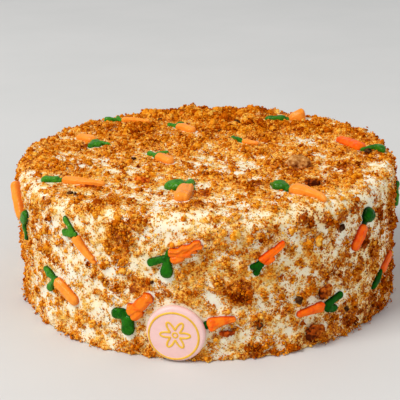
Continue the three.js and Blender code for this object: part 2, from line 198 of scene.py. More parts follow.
# %% The table of carrots
# "top" with x and y, or "side" with the bearing in degrees and the height; heading of the root in degrees;
# the way it was squeezed out; root (length, half width at shoulder and tip, bend, belly, curl); leaf lobes
# (turn from straight back first, then the same sizes)
CARROTS = {
    "top_01": ("top", -61, 82.5, -16, "slab", (22, 3.4, 1.6, 1),
               [(14, 11.5, 0.8, 3.0, 0, 0, 0.8), (-52, 6, 1.6, 2.2, 0, 0, 1.0)]),
    "top_02": ("top", -75, 27.5, 140, "slab", (17, 4.2, 3, -2),
               [(-60, 12, 2.4, 2.2), (-30, 10, 3, 2.8), (12, 12.5, 2.2, 1, -1)]),
    "top_03": ("top", -20, 63, -48, "plain", (18, 4, 3.2), [(6, 8.5, 1.3, 1.7), (-70, 11, 1.2, 1.4, 2)]),
    "top_04": ("top", -31, -9, -54, "plain", (16.5, 4.1, 3.2),
               [(2, 9.5, 1.5, 2.2), (-80, 11, 1.4, 1.8, 2.5)]),
    "top_05": ("top", -85.5, -53, -20, "slab", (28, 3.5, 1.8, 0.5), [(14, 12, 3, 2.8)]),
    "top_06": ("top", -11.5, -71.5, -98, "block", (22, 4.5, 4.4),
               [(90, 13.5, 4.4, 3.0, 0, 1.4), (-8, 10.5, 3, 2.6), (48, 9, 3.4, 3), (-122, 6, 1.4, 1.4)]),
    "top_07": ("top", 24, 23, -37, "plain", (13, 2.4, 1.4), [(-24, 12.5, 1.8, 1.4)]),
    "top_08": ("top", 59, 79, 2, "plain", (12.5, 3.2, 5.2, 0, 0, 5.2), [(-6, 16, 2.6, 1.2, 0, 1.0)]),
    "top_09": ("top", 46.5, -78.5, -45, "slab", (26, 5.6, 1.5, 2.4), [(-6, 15, 2.6, 0.3, 0, 3.6, -0.6)]),
    "top_10": ("top", 100.5, 0, 117, "plain", (28, 4.7, 3.4), [(36, 12.5, 1.4, 2.6, 5.5, 0, 1.6)]),
    "side_01": ("side", -67.5, 57, 122, "plain", (25, 4.6, 3.2, 1.6, 0.6, 1.8),
                [(102, 12.5, 2.4, 2, 0, 1.4), (-10, 11.5, 1.8, 1.4)]),
    "side_02": ("side", -37.9, 65.6, -43, "groove", (20, 3.2, 1.8, -1),
                [(-7, 12, 1.6, 1.5), (48, 9.5, 2.2, 2.3)]),
    "side_03": ("side", -47.2, 33.2, -28, "plain", (21, 3.9, 3.4, 0.6),
                [(8, 12, 1.4, 0.9, 0, 1.5), (80, 12.0, 1.2, 3.1)]),
    "side_04": ("side", -9.9, 62, 25, "frilled", (19.5, 4.2, 3, -0.6),
                [(60, 12.2, 1.4, 4.6), (-4, 12.4, 1.7, 2.5), (-125, 5, 1.8, 0.9)]),
    "side_05": ("side", -21.6, 25.4, 44, "tee", (19, 5.8, 3, -0.6),
                [(-40, 10.5, 3.3, 3.2), (44, 13, 3.5, 4.1)]),
    "side_06": ("side", -0.6, 21.9, 11, "lumpy", (16.5, 4.6, 1.7, 0.6), [(-48, 2.3, 1.1, 0.9)]),
    "side_07": ("side", 13.7, 56.7, 41, "forked", (17, 3.7, 1.5), [(-25, 6, 2, 1.9), (24, 7, 2, 1.9)]),
    "side_08": ("side", 47.3, 64.8, -128, "plain", (16.5, 3.2, 3.1, 0.4), [(4, 9.5, 2.4, 2.6, 0, 2.4)]),
    "side_09": ("side", 32.2, 23.2, -176, "lumpy", (18, 3.5, 2, -0.8),
                [(16, 14, 2.4, 1.9), (-22, 10, 2.6, 2.2, -1)]),
    "side_10": ("side", 58.6, 26.8, 18, "plain", (19.5, 2.6, 2), [(12, 13, 2, 1.3, 0, 0.6)]),
    "side_11": ("side", 83, 63, 6, "groove", (18, 3.2, 2), [(-42, 12, 2, 2.4), (42, 12, 2, 2.4)]),
    "side_12": ("side", 101, 28, -30, "lumpy", (18, 3.8, 2, 1), [(-30, 11, 1.8, 2.2), (34, 9, 2, 2.2)]),
    "side_13": ("side", 123, 60, 38, "creased", (19, 4, 2.2, -1), [(20, 12, 2, 1.8), (-40, 8, 1.8, 2.4)]),
    "side_14": ("side", 146, 26, 160, "plain", (18, 3.8, 2, 1), [(-8, 12, 2, 1.4, 0, 1.2)]),
    "side_15": ("side", 168, 63, -128, "groove", (17, 3.6, 2.4), [(28, 11, 1.8, 2), (-36, 10, 1.8, 2.2)]),
    "side_16": ("side", 190, 27, 40, "tee", (18, 4.8, 2.4, -1.2), [(-38, 10, 2.6, 2.6), (32, 12, 2.4, 2.8)]),
    "side_17": ("side", 213, 61, -36, "twisted", (19, 3.6, 1.8), [(-6, 12, 2, 1.6), (44, 7, 1.8, 2.2)]),
    "side_18": ("side", 237, 30, 150, "creased", (18, 3.8, 2.2, -1), [(24, 12, 2, 2), (-34, 9, 1.8, 2.4)]),
    "side_19": ("side", 262, 60, 24, "plain", (18, 4, 2.4, 0.8), [(40, 10, 2, 2.6), (-24, 11, 1.8, 2)]),
}
print("carrots:", len(CARROTS))

# %% Lay a patch of paper against the cake


def patch_at(kind, a, b, heading):
    """The middle of the patch and its two directions: along the heading, and a quarter turn to its left."""
    if kind == "side":
        turn = math.radians(a)
        middle = np.array([RADIUS * math.sin(turn), -RADIUS * math.cos(turn), b])
        right, up = np.array([math.cos(turn), math.sin(turn), 0]), np.array([0, 0, 1.0])
    else:
        middle = np.array([a, b, HEIGHT])
        right, up = np.array([1.0, 0, 0]), np.array([0, 1.0, 0])
    h = math.radians(heading)
    return middle, right * math.cos(h) + up * math.sin(h), -right * math.sin(h) + up * math.cos(h)


def lay(patch, u, v, lift):
    """The patch point middle + u * heading + v * left, brought onto the skin and moved off it by lift."""
    middle, ahead, left = patch
    return on_skin(middle + u[..., None] * ahead + v[..., None] * left, lift)


first_place = lay(patch_at(*CARROTS["top_01"][:4]), np.zeros(1), np.zeros(1), 0)[0]
print("the first carrot starts at", first_place.round(1))

# %% Follow a stroke
KNOT = 0.9  # millimetres from the shoulder back to where the lobes start
CREST_SHARE, CREST_LEAST = 0.7, 0.9  # height of a stroke: a share of its half width, and millimetres


def stroke_of(start, turn, length, wide, narrow, bend=0, belly=0, curl=0):
    """One squeeze of the icing bag, told by named sizes."""
    return dict(start=start, turn=turn, length=length, wide=wide, narrow=narrow, bend=bend,
                belly=belly, curl=curl)


def strokes_of(row):
    """The root's stroke from the shoulder on, and the lobes' strokes from a knot behind it."""
    root = stroke_of(0, 0, *row[5])
    return root, [stroke_of(-KNOT, 180 + turn, *sizes) for turn, *sizes in row[6]]


def follow(stroke, t):
    """At share t of the way: place (u, v), direction, half width and crest height."""
    arch = 4 * t * (1 - t)
    turn, reach = math.radians(stroke["turn"]), t * stroke["length"]
    bow, slope = stroke["bend"] * arch, stroke["bend"] * (4 - 8 * t) / stroke["length"]
    u = stroke["start"] + reach * math.cos(turn) - bow * math.sin(turn)
    v = reach * math.sin(turn) + bow * math.cos(turn)
    swell = 1 - np.abs(2 * t - 1) if stroke["belly"] > 3 else arch
    half = stroke["wide"] + (stroke["narrow"] - stroke["wide"]) * t + stroke["belly"] * swell
    return u, v, turn + np.arctan(slope), half, CREST_SHARE * half + CREST_LEAST + stroke["curl"] * t


print("strokes in all carrots:", sum(1 + len(row[6]) for row in CARROTS.values()))

# %% [markdown]
# Crumbs must leave the carrots, the medallion and the largest nuts free. Each stroke is covered with round
# spots, and the room left at a place is its distance from the nearest spot's edge.

# %% Room around the toppings
MEDALLION = dict(radius=16.5, bearing=-8.6, height=17.2, yaw=2.0, thick=4.0, off_skin=0.6, clear=0.8)
NUT_SPOTS = [(58, -32.5, 4.2), (53, -31, 3.6), (60, -69, 2.0)]  # x, y and radius
BLOCK = 4000  # points that are measured in one go
spots = []
for row in CARROTS.values():
    patch = patch_at(*row[:4])
    root, lobes = strokes_of(row)
    for stroke in [root, *lobes]:
        u, v, _, half, _ = follow(stroke, np.linspace(0.06, 0.94, 9))
        spots.append(np.c_[lay(patch, u, v, 0), half])
medallion_turn = math.radians(MEDALLION["bearing"])
outward = np.array([math.sin(medallion_turn), -math.cos(medallion_turn), 0.0])
medallion_foot = on_skin(outward * RADIUS + [0, 0, MEDALLION["height"]], MEDALLION["off_skin"])
spots.append(np.array([[*medallion_foot, MEDALLION["radius"] + MEDALLION["clear"]]]))
spots += [np.array([[x, y, HEIGHT, radius]]) for x, y, radius in NUT_SPOTS]
spots = np.concatenate(spots).astype(np.float32)


def room(points):
    """Distance from each point to the edge of the nearest topping, in millimetres."""
    points = np.asarray(points, dtype=np.float32).reshape(-1, 3)
    nearest = np.full(len(points), 1e3, dtype=np.float32)
    for start in range(0, len(points), BLOCK):
        part = points[start:start + BLOCK, None, :] - spots[None, :, :3]
        nearest[start:start + BLOCK] = (np.sqrt((part**2).sum(-1)) - spots[:, 3]).min(1)
    return nearest


print("spots that toppings take:", len(spots))

# %% [markdown]
# ## Drifts and bare patches
# The crumbs lie thick over the top, thickest towards its back, and thinner on the side, where patches of
# cream stay bare. Named drifts and bare spots set the large pattern, and mottle breaks it up. Some drifts
# hold darker, well toasted crumbs, and the crumbs on the right half of the side are darker as painted shade.

# %% Drifts and bare spots on the side
# (bearing in degrees, height, radius, strength), in millimetres. A strength above 1 means a deep drift.
SIDE_DRIFTS = [
    (-69, 7, 8, 0.9), (-68, 27, 6, 0.8), (-64, 42, 6, 0.8), (-70, 60, 9, 0.9), (-58, 70, 6, 1),
    (-60, 60, 5, 0.8), (-57, 79, 5, 0.9), (-57, 50, 5, 1), (-53, 48, 4, 0.8), (-47, 46, 3, 0.6),
    (-51, 62, 4, 0.7), (-45, 10, 4, 0.8), (-51, 78, 5, 1.3), (-37, 15, 4, 0.6), (-37, 70, 4, 1.1),
    (-30, 50, 4, 0.6), (-29, 43, 3, 0.6), (-32, 13, 4, 0.7), (-24, 73, 8, 1.3), (-23, 63, 5, 0.8),
    (-19, 39, 6, 1.2), (-12, 42, 4, 1), (-18, 79, 4, 0.8), (-84, 36, 8, 0.8), (-24, 5, 4, 1),
    (-17, 3, 4, 1), (-2, 70, 4, 0.9), (-3, 77, 4, 0.5), (-3, 49, 4, 0.7), (6, 65, 3, 0.6),
    (8.5, 41, 8, 1.3), (10, 50, 3, 0.8), (2, 45, 4, 0.7), (16, 49, 4, 0.8), (12, 24, 4, 0.6),
    (10.5, 35, 5, 1.2), (17, 72, 3, 0.9), (16, 71, 4, 1), (25, 77, 5, 1.1), (33, 76, 4, 1),
    (28, 57, 4, 0.6), (8, 25, 4, 0.9), (21, 26, 4, 1.2), (34, 43, 4, 0.7), (40, 49, 5, 0.9),
    (28, 36, 4, 0.6), (40, 36, 5, 0.9), (37, 70, 4, 0.7), (-2, 3, 3, 0.8), (13, 4, 5, 1.1),
    (24, 4, 5, 0.8), (35, 7, 5, 1), (40, 16, 4, 0.7), (44, 11, 5, 0.8), (52, 12, 7, 1.2), (48, 53, 6, 1),
    (55, 46, 6, 0.9), (47, 39, 5, 0.8), (45, 32, 4, 0.7), (58, 64, 5, 1), (66, 70, 6, 0.8),
    (68, 52, 6, 0.9), (61, 15, 8, 1.2), (70, 24, 9, 1), (75, 44, 8, 0.9), (54, 38, 4, 0.7),
    (92, 50, 10, 1.1), (100, 10, 9, 1), (112, 66, 8, 1), (118, 24, 8, 0.9), (136, 44, 10, 1.1),
    (150, 8, 8, 1), (160, 40, 7, 0.8), (178, 46, 9, 1.1), (196, 72, 7, 1), (176, 8, 7, 0.9),
    (205, 12, 8, 1), (222, 42, 9, 1.1), (243, 72, 8, 1), (250, 12, 9, 1), (256, 40, 7, 0.9),
    (276, 30, 9, 1.1), (273, 76, 7, 0.9), (288, 54, 9, 1), (-1, 72, 4, 0.9), (1, 65, 4, 1), (3, 58, 4, 1),
    (5, 52, 4, 1), (-14, 38, 4, 1), (-10, 48, 4, 0.9), (12, 61, 4, 0.9), (-24, 37, 4, 1),
    (-20, 8, 5, 1.3), (46, 71, 4, 0.9), (-40, 23, 4, 0.8), (27, 62, 3, 0.7), (9, 76, 4, 0.9),
    (-24, 39, 5, 1.2), (-29, 32, 4, 1), (-10, 50, 4, 1.1), (-6, 38, 4, 1), (41, 7, 5, 1),
]
SIDE_BARE = [
    (-62, 78, 3, 1), (-61, 22, 5, 1), (-57, 17, 4, 1), (-59, 33, 4, 0.8), (-51, 70, 4, 1),
    (-51, 56, 4, 0.8), (-48, 67, 4, 1), (-44, 76, 4, 0.9), (-44, 56, 3, 0.9), (-37, 76, 4, 1),
    (-32, 77, 5, 1.2), (-32, 70, 3, 1), (-41, 59, 4, 1.2), (-45, 39, 4, 0.8), (-42, 49, 4, 0.8),
    (-35, 53, 4, 1), (-34, 37, 4, 0.9), (-30, 57, 3, 0.8), (-33, 30, 3, 0.6), (-32, 23, 5, 1.1),
    (-41, 17, 4, 0.9), (-50, 15, 4, 0.9), (-36, 6, 5, 1), (-28, 3, 3, 0.9), (22, 83, 5, 1.2),
    (-16, 59, 4, 1), (-15, 78, 3, 0.8), (-17, 52, 3, 0.7), (-7, 80, 5, 1.2), (-2, 82, 4, 1),
    (-12, 50, 4, 0.8), (1, 36, 4, 1), (-9, 83, 5, 1.3), (-12, 79, 4, 1.2), (20, 45, 4, 1),
    (3, 80, 3, 0.9), (6, 72, 4, 0.9), (12, 67, 4, 0.9), (11, 79, 4, 1), (5, 12, 4, 1), (9, 11, 4, 1.1),
    (7, 27, 4, 0.9), (13, 31, 4, 1), (17, 37, 4, 0.9), (16, 61, 4, 0.9), (20, 75, 3, 0.8),
    (23, 68, 5, 1.1), (24, 62, 3, 0.9), (20, 56, 4, 0.8), (24, 40, 3, 0.8), (22, 13, 4, 1),
    (4, 3, 4, 1.2), (19, 17, 4, 0.9), (29, 28, 4, 0.8), (31, 70, 4, 1), (36, 73, 3, 0.8),
    (40, 66, 4, 0.9), (38, 58, 4, 0.9), (36, 53, 4, 0.7), (39, 28, 4, 0.9), (44, 26, 3, 0.8),
    (33, 14, 4, 0.8), (52, 77, 4, 1), (60, 79, 5, 1), (53, 60, 3, 0.7), (62, 48, 4, 0.6),
    (50, 68, 4, 0.6), (62, 32, 4, 0.5), (22, 32, 3, 0.8), (84, 76, 6, 1), (92, 30, 6, 1), (104, 46, 7, 1),
    (128, 78, 6, 1), (128, 14, 7, 1), (152, 64, 6, 1), (160, 22, 6, 0.9), (140, 68, 5, 0.8),
    (184, 16, 6, 0.9), (186, 60, 7, 1), (208, 34, 6, 0.9), (228, 78, 6, 1), (228, 18, 7, 1),
    (238, 52, 6, 0.9), (252, 62, 6, 0.9), (266, 14, 6, 0.9), (268, 48, 6, 1), (282, 70, 6, 0.8),
    (-20, 56, 5, 1), (-25, 53, 4, 0.9), (26, 47, 4, 1), (33, 38, 4, 0.9), (26, 83, 5, 1.2),
    (-52, 6, 5, 0.8), (61, 61, 5, 0.9), (31, 61, 4, 0.9), (-31, 37, 5, 1.1), (-41, 44, 4, 0.8),
    (-29, 72, 3, 0.8), (-11, 80, 6, 1.4), (-13, 76, 4, 1.2), (-17, 71, 3, 0.9), (-35, 47, 4, 1),
    (-27, 47, 5, 1.1), (7, 62, 3, 0.8), (55, 55, 5, 1.2), (50, 43, 4, 1.1), (61, 66, 5, 1),
    (28, 17, 5, 1), (-26, 11, 4, 1), (36, 82, 5, 1),
]
print("on the side:", len(SIDE_DRIFTS), "drifts and", len(SIDE_BARE), "bare spots")

# %% Drifts and bare spots on the top
# (x, y, radius, strength), in millimetres
TOP_DRIFTS = [
    (52, -34, 13, 1.2), (45, -24, 8, 1), (62, -66, 5, 1.1), (27, -67, 7, 1.1), (12, -58, 6, 0.8),
    (-8, -98, 6, 1.1), (-75, -96, 7, 1), (-60, -92, 6, 0.8), (-92, -30, 7, 0.9), (-78, -36, 5, 0.8),
    (-50, -24, 5, 0.6), (-80, 18, 5, 1), (-56, 18, 5, 1), (-40, 30, 7, 1), (-12, 24, 6, 0.9),
    (40, 3, 7, 0.9), (30, 45, 8, 1), (48, 58, 9, 1.1), (75, 66, 10, 1.1), (102, -6, 6, 1),
    (86, -38, 8, 1), (115, -12, 5, 1.1), (80, -56, 6, 1), (-38, -52, 5, 0.7), (-27, -30, 5, 0.9),
    (-16, 0, 6, 1), (-5, 90, 18, 1.1), (-45, 64, 12, 1), (12, 55, 9, 1), (-75, 85, 12, 1),
    (35, 100, 14, 1.1), (-105, 20, 9, 1), (-110, -12, 7, 0.9), (95, 48, 9, 1), (110, 20, 7, 0.9),
    (-22, -56, 5, 0.7), (30, -92, 5, 0.7), (-58, -71, 4, 0.9), (0, -44, 6, 0.6), (20, 12, 6, 0.6),
    (12, -112, 5, 0.7), (70, 42, 8, 0.9), (-2, -80, 5, 1.2), (-60, -98, 5, 1), (76, -69, 6, 0.9),
    (45, -62, 5, 0.8), (46, 27, 5, 0.8), (37, -62, 5, 1), (79, -33, 6, 1), (79, -58, 5, 1), (89, 1, 5, 1),
]
TOP_BARE = [
    (-105, 50, 5, 1), (-97, 42, 5, 1), (-63, 61, 5, 0.8), (14, 71, 6, 0.8), (-4, 39, 5, 0.8),
    (-24, 22, 5, 1.2), (-7, 10, 4, 0.9), (2, 19, 5, 0.8), (2, -11, 8, 1.3), (-3, -25, 7, 1.2),
    (21, -29, 10, 1.5), (10, -32, 5, 1), (31, -12, 5, 1), (66, 25, 9, 1.6), (68, 15, 5, 1),
    (66, 4, 4, 0.9), (46, 3, 4, 0.9), (38, 20, 4, 0.8), (21, 6, 4, 0.7), (73, -12, 6, 1.1),
    (99, -44, 6, 1.1), (-66, -14, 6, 1.1), (-45, -28, 5, 1.1), (-43, -38, 4, 0.8), (-90, 2, 5, 0.9),
    (-111, -34, 6, 1.2), (-101, -60, 6, 1.2), (-96, -71, 5, 1), (-80, -86, 5, 1.2), (-68, -76, 5, 1),
    (-40, -64, 5, 1), (-31, -88, 7, 1.3), (-46, -62, 3, 0.8), (-2, -67, 5, 1.1), (-10, -54, 3, 0.7),
    (4, -92, 4, 0.9), (12, -88, 5, 0.9), (20, -100, 5, 0.9), (-3, -112, 5, 1.1), (-19, -106, 4, 0.9),
    (-53, -102, 4, 0.9), (64, -100, 5, 1), (87, -80, 5, 1.1), (49, -104, 4, 0.8), (36, -97, 4, 0.7),
    (76, -91, 4, 0.8), (30, -52, 4, 0.8), (12, -74, 3, 0.7), (-100, -16, 4, 0.8), (-28, 44, 5, 0.6),
    (88, 26, 5, 0.7), (54, -4, 4, 0.7), (-79, -20, 6, 0.9), (-86, -10, 5, 0.9), (-105, -42, 5, 1.2),
    (9, -111, 5, 1.2), (16, -104, 5, 1.1), (0, -92, 5, 1), (103, -32, 5, 0.9), (-106, 41, 5, 0.9),
    (-98, 56, 5, 0.9), (-75, 66, 6, 0.7), (-57, 73, 6, 0.7), (-31, 32, 6, 0.7), (-66, -23, 6, 1.1),
    (-46, -38, 6, 1.1), (-16, -113, 6, 1.3), (13, -17, 6, 1), (18, -42, 5, 1), (-101, -47, 5, 1),
    (23, -112, 6, 1.2), (50, -107, 5, 1.2), (-112, 2, 4, 0.8), (-59, -34, 5, 1.1), (-39, -65, 5, 1.3),
    (-27, -103, 6, 1.3), (95, -60, 6, 1.3), (73, 33, 6, 1.3), (-4, -40, 5, 1), (60, 40, 5, 1),
    (53, 20, 4, 1), (72, -33, 4, 1.4),
]
print("on the top:", len(TOP_DRIFTS), "drifts and", len(TOP_BARE), "bare spots")

# %% Well toasted places, and heaps
# rows as before, first for the side and then for the top
DARK = [
    (-23, 72, 8, 1), (-20, 41, 6, 1), (8.5, 41, 8, 1.2), (26, 77, 5, 0.8), (34, 42, 5, 0.6),
    (49, 53, 6, 1.2), (53, 12, 8, 1), (58, 64, 5, 1), (-12, 42, 4, 0.9), (66, 20, 10, 0.9),
    (70, 56, 10, 0.6), (9, 5, 5, 0.6), (38, 68, 4, 0.9), (-26, 37, 6, 0.8), (-14, 39, 4, 0.7),
    (30, 77, 5, 1), (17, 71, 4, 1), (-51, 78, 5, 0.8), (-20, 8, 4, 1), (20, 26, 4, 0.8), (13, 4, 5, 0.9),
    (25, 4, 4, 0.9), (2, 4, 4, 0.6), (-26, 4, 4, 0.5), (136, 44, 8, 0.8), (196, 72, 7, 0.8),
    (222, 42, 8, 0.8), (276, 30, 8, 0.8),
]
DARK_TOP = [
    (50, -34, 12, 1.1), (62, -66, 6, 1.3), (27, -67, 7, 0.9), (-8, -98, 6, 1.2), (-90, -28, 7, 0.6),
    (-80, 17, 5, 1.4), (-56, 18, 5, 1.2), (102, -6, 6, 1.4), (48, 58, 9, 0.7), (-38, -54, 6, 0.5),
    (-45, 64, 9, 0.4), (80, -56, 6, 0.8), (12, 55, 8, 0.5), (86, -38, 8, 0.4), (-2, -80, 5, 1.2),
    (46, 39, 5, 0.8), (80, -42, 9, 0.9), (36, -62, 5, 0.6), (89, 1, 5, 0.7),
]
# (x, y, radius, height) of the heaps that stand up on the top, most of them along its edge
HEAPS = [
    (17, 110, 5, 3.0), (37, 108, 5, 2.0), (54, 103, 5, 2.5), (88, 74, 9, 4.0), (78, 86, 6, 2.5),
    (108, 47, 5, 3.5), (112, 34, 5, 3.0), (115, -3, 5, 3.0), (-40, 107, 6, 2.0), (-11, 112, 7, 2.5),
    (-112, 15, 6, 3.0), (-114, -8, 4, 2.0), (-72, 88, 6, 2.0), (100, 60, 5, 2.0), (52, -32, 9, 2.5),
    (62, -66, 4, 1.5), (85, -40, 8, 2.0), (105, -30, 7, 1.5), (-90, -28, 7, 1.5), (-8, -98, 5, 1.0),
    (26, -67, 6, 1.2), (-45, 64, 8, 1.5), (30, 45, 7, 1.5), (40, 70, 6, 1.5),
]
print("well toasted places:", len(DARK) + len(DARK_TOP), "heaps:", len(HEAPS))

# %% Hills from a table


def hills(points, rows, side):
    """The highest of many round hills, each strength * exp(-(distance / radius) squared) about its middle."""
    rows = np.array(rows, dtype=float)
    if side:
        turn = np.radians(rows[:, 0])
        middles = np.c_[RADIUS * np.sin(turn), -RADIUS * np.cos(turn), rows[:, 1]]
    else:
        middles = np.c_[rows[:, :2], np.full(len(rows), HEIGHT)]
    best = np.zeros(len(points))
    for middle, (radius, strength) in zip(middles, rows[:, 2:]):
        best = np.maximum(best, strength * np.exp(-((points - middle) ** 2).sum(1) / radius**2))
    return best


print("a hill keeps %.2f of its strength at its radius" % math.exp(-1))

# %% [markdown]
# Every field is worked out once on a fine net over the skin, at most 0.75 mm from knot to knot, and read
# from it afterwards. That saves a lot of time with some eighty thousand crumbs.

# %% The net and its fields
NET_ROWS, NET_TURNS = 400, 1024
net_tape = np.linspace(0, TAPE, NET_ROWS)
net_turn = np.linspace(0, 2 * math.pi, NET_TURNS, endpoint=False)
net_points = along(net_tape[:, None], net_turn[None, :]).reshape(-1, 3)
net_x, net_y, net_z = net_points.T


def both(side_rows, top_rows):
    """At each knot, the higher of the hills on the side and of those on the top."""
    return np.maximum(hills(net_points, side_rows, True), hills(net_points, top_rows, False))


on_top = smooth_step(net_z, HEIGHT - 5, HEIGHT - 0.5)
free_room = room(net_points)
drifts, bare = both(SIDE_DRIFTS, TOP_DRIFTS), both(SIDE_BARE, TOP_BARE)
thick = 0.72 + on_top * (0.07 + 0.20 * smooth_step(net_y, -50, 60))
thick += 0.12 * (1 - smooth_step(net_z, 1, 7)) + 0.38 * drifts - 0.44 * bare
thick += (1 - on_top) * (-0.05 * smooth_step(net_x, 10, 90) - 0.09 * smooth_step(-net_x, 10, 90))
thick += (0.07 * mottle(net_points, 15, 11) + 0.15 * mottle(net_points, 6, 12)
          + 0.14 * mottle(net_points, 3, 13))
toast_and_shade = 0.40 * both(DARK, DARK_TOP)
# painted shade: crumbs on the right half of the side, away from the key lamp, are darker
toast_and_shade += 0.29 * (1 - on_top) * smooth_step(net_x, 10, 90) - 0.05 + 0.04 * on_top * smooth_step(net_y, 0, 60)
toast_and_shade += 0.07 * mottle(net_points, 22, 14) + 0.07 * mottle(net_points, 7, 15)
print("share of the skin in drifts: %.2f" % (thick > 0.7).mean())


def read(field, tape, turn):
    """The field at any place, by linear steps between the four nearest knots of the net."""
    table = field.reshape(NET_ROWS, NET_TURNS)
    row = np.clip(tape / TAPE * (NET_ROWS - 1), 0, NET_ROWS - 1.001)
    column = (turn % (2 * math.pi)) / (2 * math.pi) * NET_TURNS
    r, c = row.astype(int), column.astype(int)
    across, up = column - c, row - r
    c, after = c % NET_TURNS, (c + 1) % NET_TURNS
    low = table[r, c] * (1 - across) + table[r, after] * across
    high = table[r + 1, c] * (1 - across) + table[r + 1, after] * across
    return low * (1 - up) + high * up


# %% [markdown]
# ## The frosting
# The cream is one closed skin: a grid of 480 steps round the cake and about 180 along the tape, with the
# underside closed by a few more rings. Low relief gives it spatula marks, and it swells where crumbs are
# pressed into it, so that the drifts stand a little proud.

# %% Relief of the frosting
deep = smooth_step(thick, 0.45, 1.25)
marks = 0.30 * mottle(net_points, 26, 21, (1, 1, 0.6)) + 0.14 * mottle(net_points, 9, 22)
heap = deep * (1.0 + 0.45 * mottle(net_points, 5, 23) + 0.3 * mottle(net_points, 3, 24))
foot = 0.4 * (1 - smooth_step(net_z, 1, 6))
mound = hills(net_points, HEAPS, False)
mound *= 1.05 + 0.50 * mottle(net_points, 4.5, 25)
calm, near = smooth_step(free_room, 0.2, 4.0), smooth_step(free_room, -0.8, 0.3)
relief = (marks + heap + foot + mound - 0.45) * calm + 0.1 * (1 - calm)
relief = np.where(on_top > 0.5, np.minimum(relief, 0.1 + 0.17 * free_room), relief)
print("relief from %.2f to %.2f mm" % (relief.min(), relief.max()))


def grid_faces(rows, columns, ring=False):
    """Quads between neighbours of a grid whose columns run round and close. In a ring its rows do too."""
    r, c = np.meshgrid(np.arange(rows - 1 + ring), np.arange(columns), indexing="ij")
    low, high, after = r * columns, (r + 1) % rows * columns, (c + 1) % columns
    return np.stack([low + c, low + after, high + after, high + c], axis=-1).reshape(-1, 4)


def closed_tube(skin):
    """Points and faces of a grid that runs round in columns, with a point in the middle of each end."""
    rows, columns = skin.shape[:2]
    i = np.arange(columns)
    j = (i + 1) % columns
    first, last = rows * columns, (rows - 1) * columns
    quads = grid_faces(rows, columns)
    caps = [np.c_[np.full(columns, first), j, i], np.c_[np.full(columns, first + 1), last + i, last + j]]
    points = np.concatenate([skin.reshape(-1, 3), [skin[0].mean(0), skin[-1].mean(0)]])
    return points, np.concatenate([quads[:, [0, 1, 2]], quads[:, [0, 2, 3]], *caps])


# %% Build the frosting
AROUND = 480
tape = np.concatenate([np.linspace(0, RISE, 74), np.linspace(RISE, RISE + ARC, 15)[1:],
                       np.linspace(RISE + ARC, TAPE - 1.2, 92)[1:]])[:, None]
turns = np.linspace(0, 2 * math.pi, AROUND, endpoint=False)[None, :]
skin = on_skin(along(tape, turns), read(relief, tape, turns))
skin[0, :, 2] = 0
rings = np.array([0.2, 0.6, 0.96])[:, None, None] * skin[:1]
points, faces = closed_tube(np.concatenate([rings, skin]))
frosting_mesh = mesh_from("frosting", points, faces)
under = np.zeros(3 * AROUND)
note(frosting_mesh, "dust", np.concatenate([under, read(thick * near, tape, turns).ravel(), [0, 0.5]]))
note(frosting_mesh, "toast_and_shade", np.concatenate([under, read(toast_and_shade, tape, turns).ravel(), [0, 0]]))
print("frosting:", len(faces), "triangles")

# %% [markdown]
# ## Crumbs
# A crumb is a small broken ball: rings of corners between two poles, each corner pushed in or out at
# random, then squashed, turned and set down. All the crumbs of a kind are made at once as one array, and
# each has only eight to twenty faces, because there are tens of thousands of them.

# %% Shape of a crumb
GRAIN, CRUMB, NUGGET, CLOD = (1, 4), (1, 6), (2, 5), (3, 7)  # rings, and corners in a ring


def crumb_template(rings, around):
    """Corners of a ball: two poles and rings between them, every other ring turned by half a step."""
    polar = np.pi * np.arange(1, rings + 1) / (rings + 1)
    turn = 2 * np.pi / around * (np.arange(around)[None, :] + 0.5 * (np.arange(rings)[:, None] % 2))
    ring_points = np.stack([np.sin(polar)[:, None] * np.cos(turn), np.sin(polar)[:, None] * np.sin(turn),
                            np.repeat(np.cos(polar)[:, None], around, 1)], axis=-1).reshape(-1, 3)
    corners = np.concatenate([[[0, 0, 1]], ring_points, [[0, 0, -1]]])
    i = np.arange(around)
    j = (i + 1) % around
    faces = [np.c_[np.zeros(around, int), 1 + i, 1 + j]]
    for r in range(rings - 1):
        a, b = 1 + r * around, 1 + (r + 1) * around
        if r % 2 == 0:
            faces += [np.c_[a + i, b + i, a + j], np.c_[a + j, b + i, b + j]]
        else:
            faces += [np.c_[a + i, b + j, a + j], np.c_[a + i, b + i, b + j]]
    end, base = len(corners) - 1, 1 + (rings - 1) * around
    faces.append(np.c_[np.full(around, end), base + j, base + i])
    return corners, np.concatenate(faces)


print("faces of a crumb:", [len(crumb_template(*shape)[1]) for shape in (GRAIN, CRUMB, NUGGET, CLOD)])

# %% Turn crumbs and set them down
LOWEST = 0.05  # millimetres over the floor


def turned(count, rng):
    """Random turns as 3 by 3 matrices, from random unit quaternions."""
    w, x, y, z = rng.normal(size=(4, count))
    n = np.sqrt(w * w + x * x + y * y + z * z)
    w, x, y, z = w / n, x / n, y / n, z / n
    return np.stack([
        1 - 2 * (y * y + z * z), 2 * (x * y - w * z), 2 * (x * z + w * y),
        2 * (x * y + w * z), 1 - 2 * (x * x + z * z), 2 * (y * z - w * x),
        2 * (x * z - w * y), 2 * (y * z + w * x), 1 - 2 * (x * x + y * y),
    ], axis=-1).reshape(count, 3, 3)


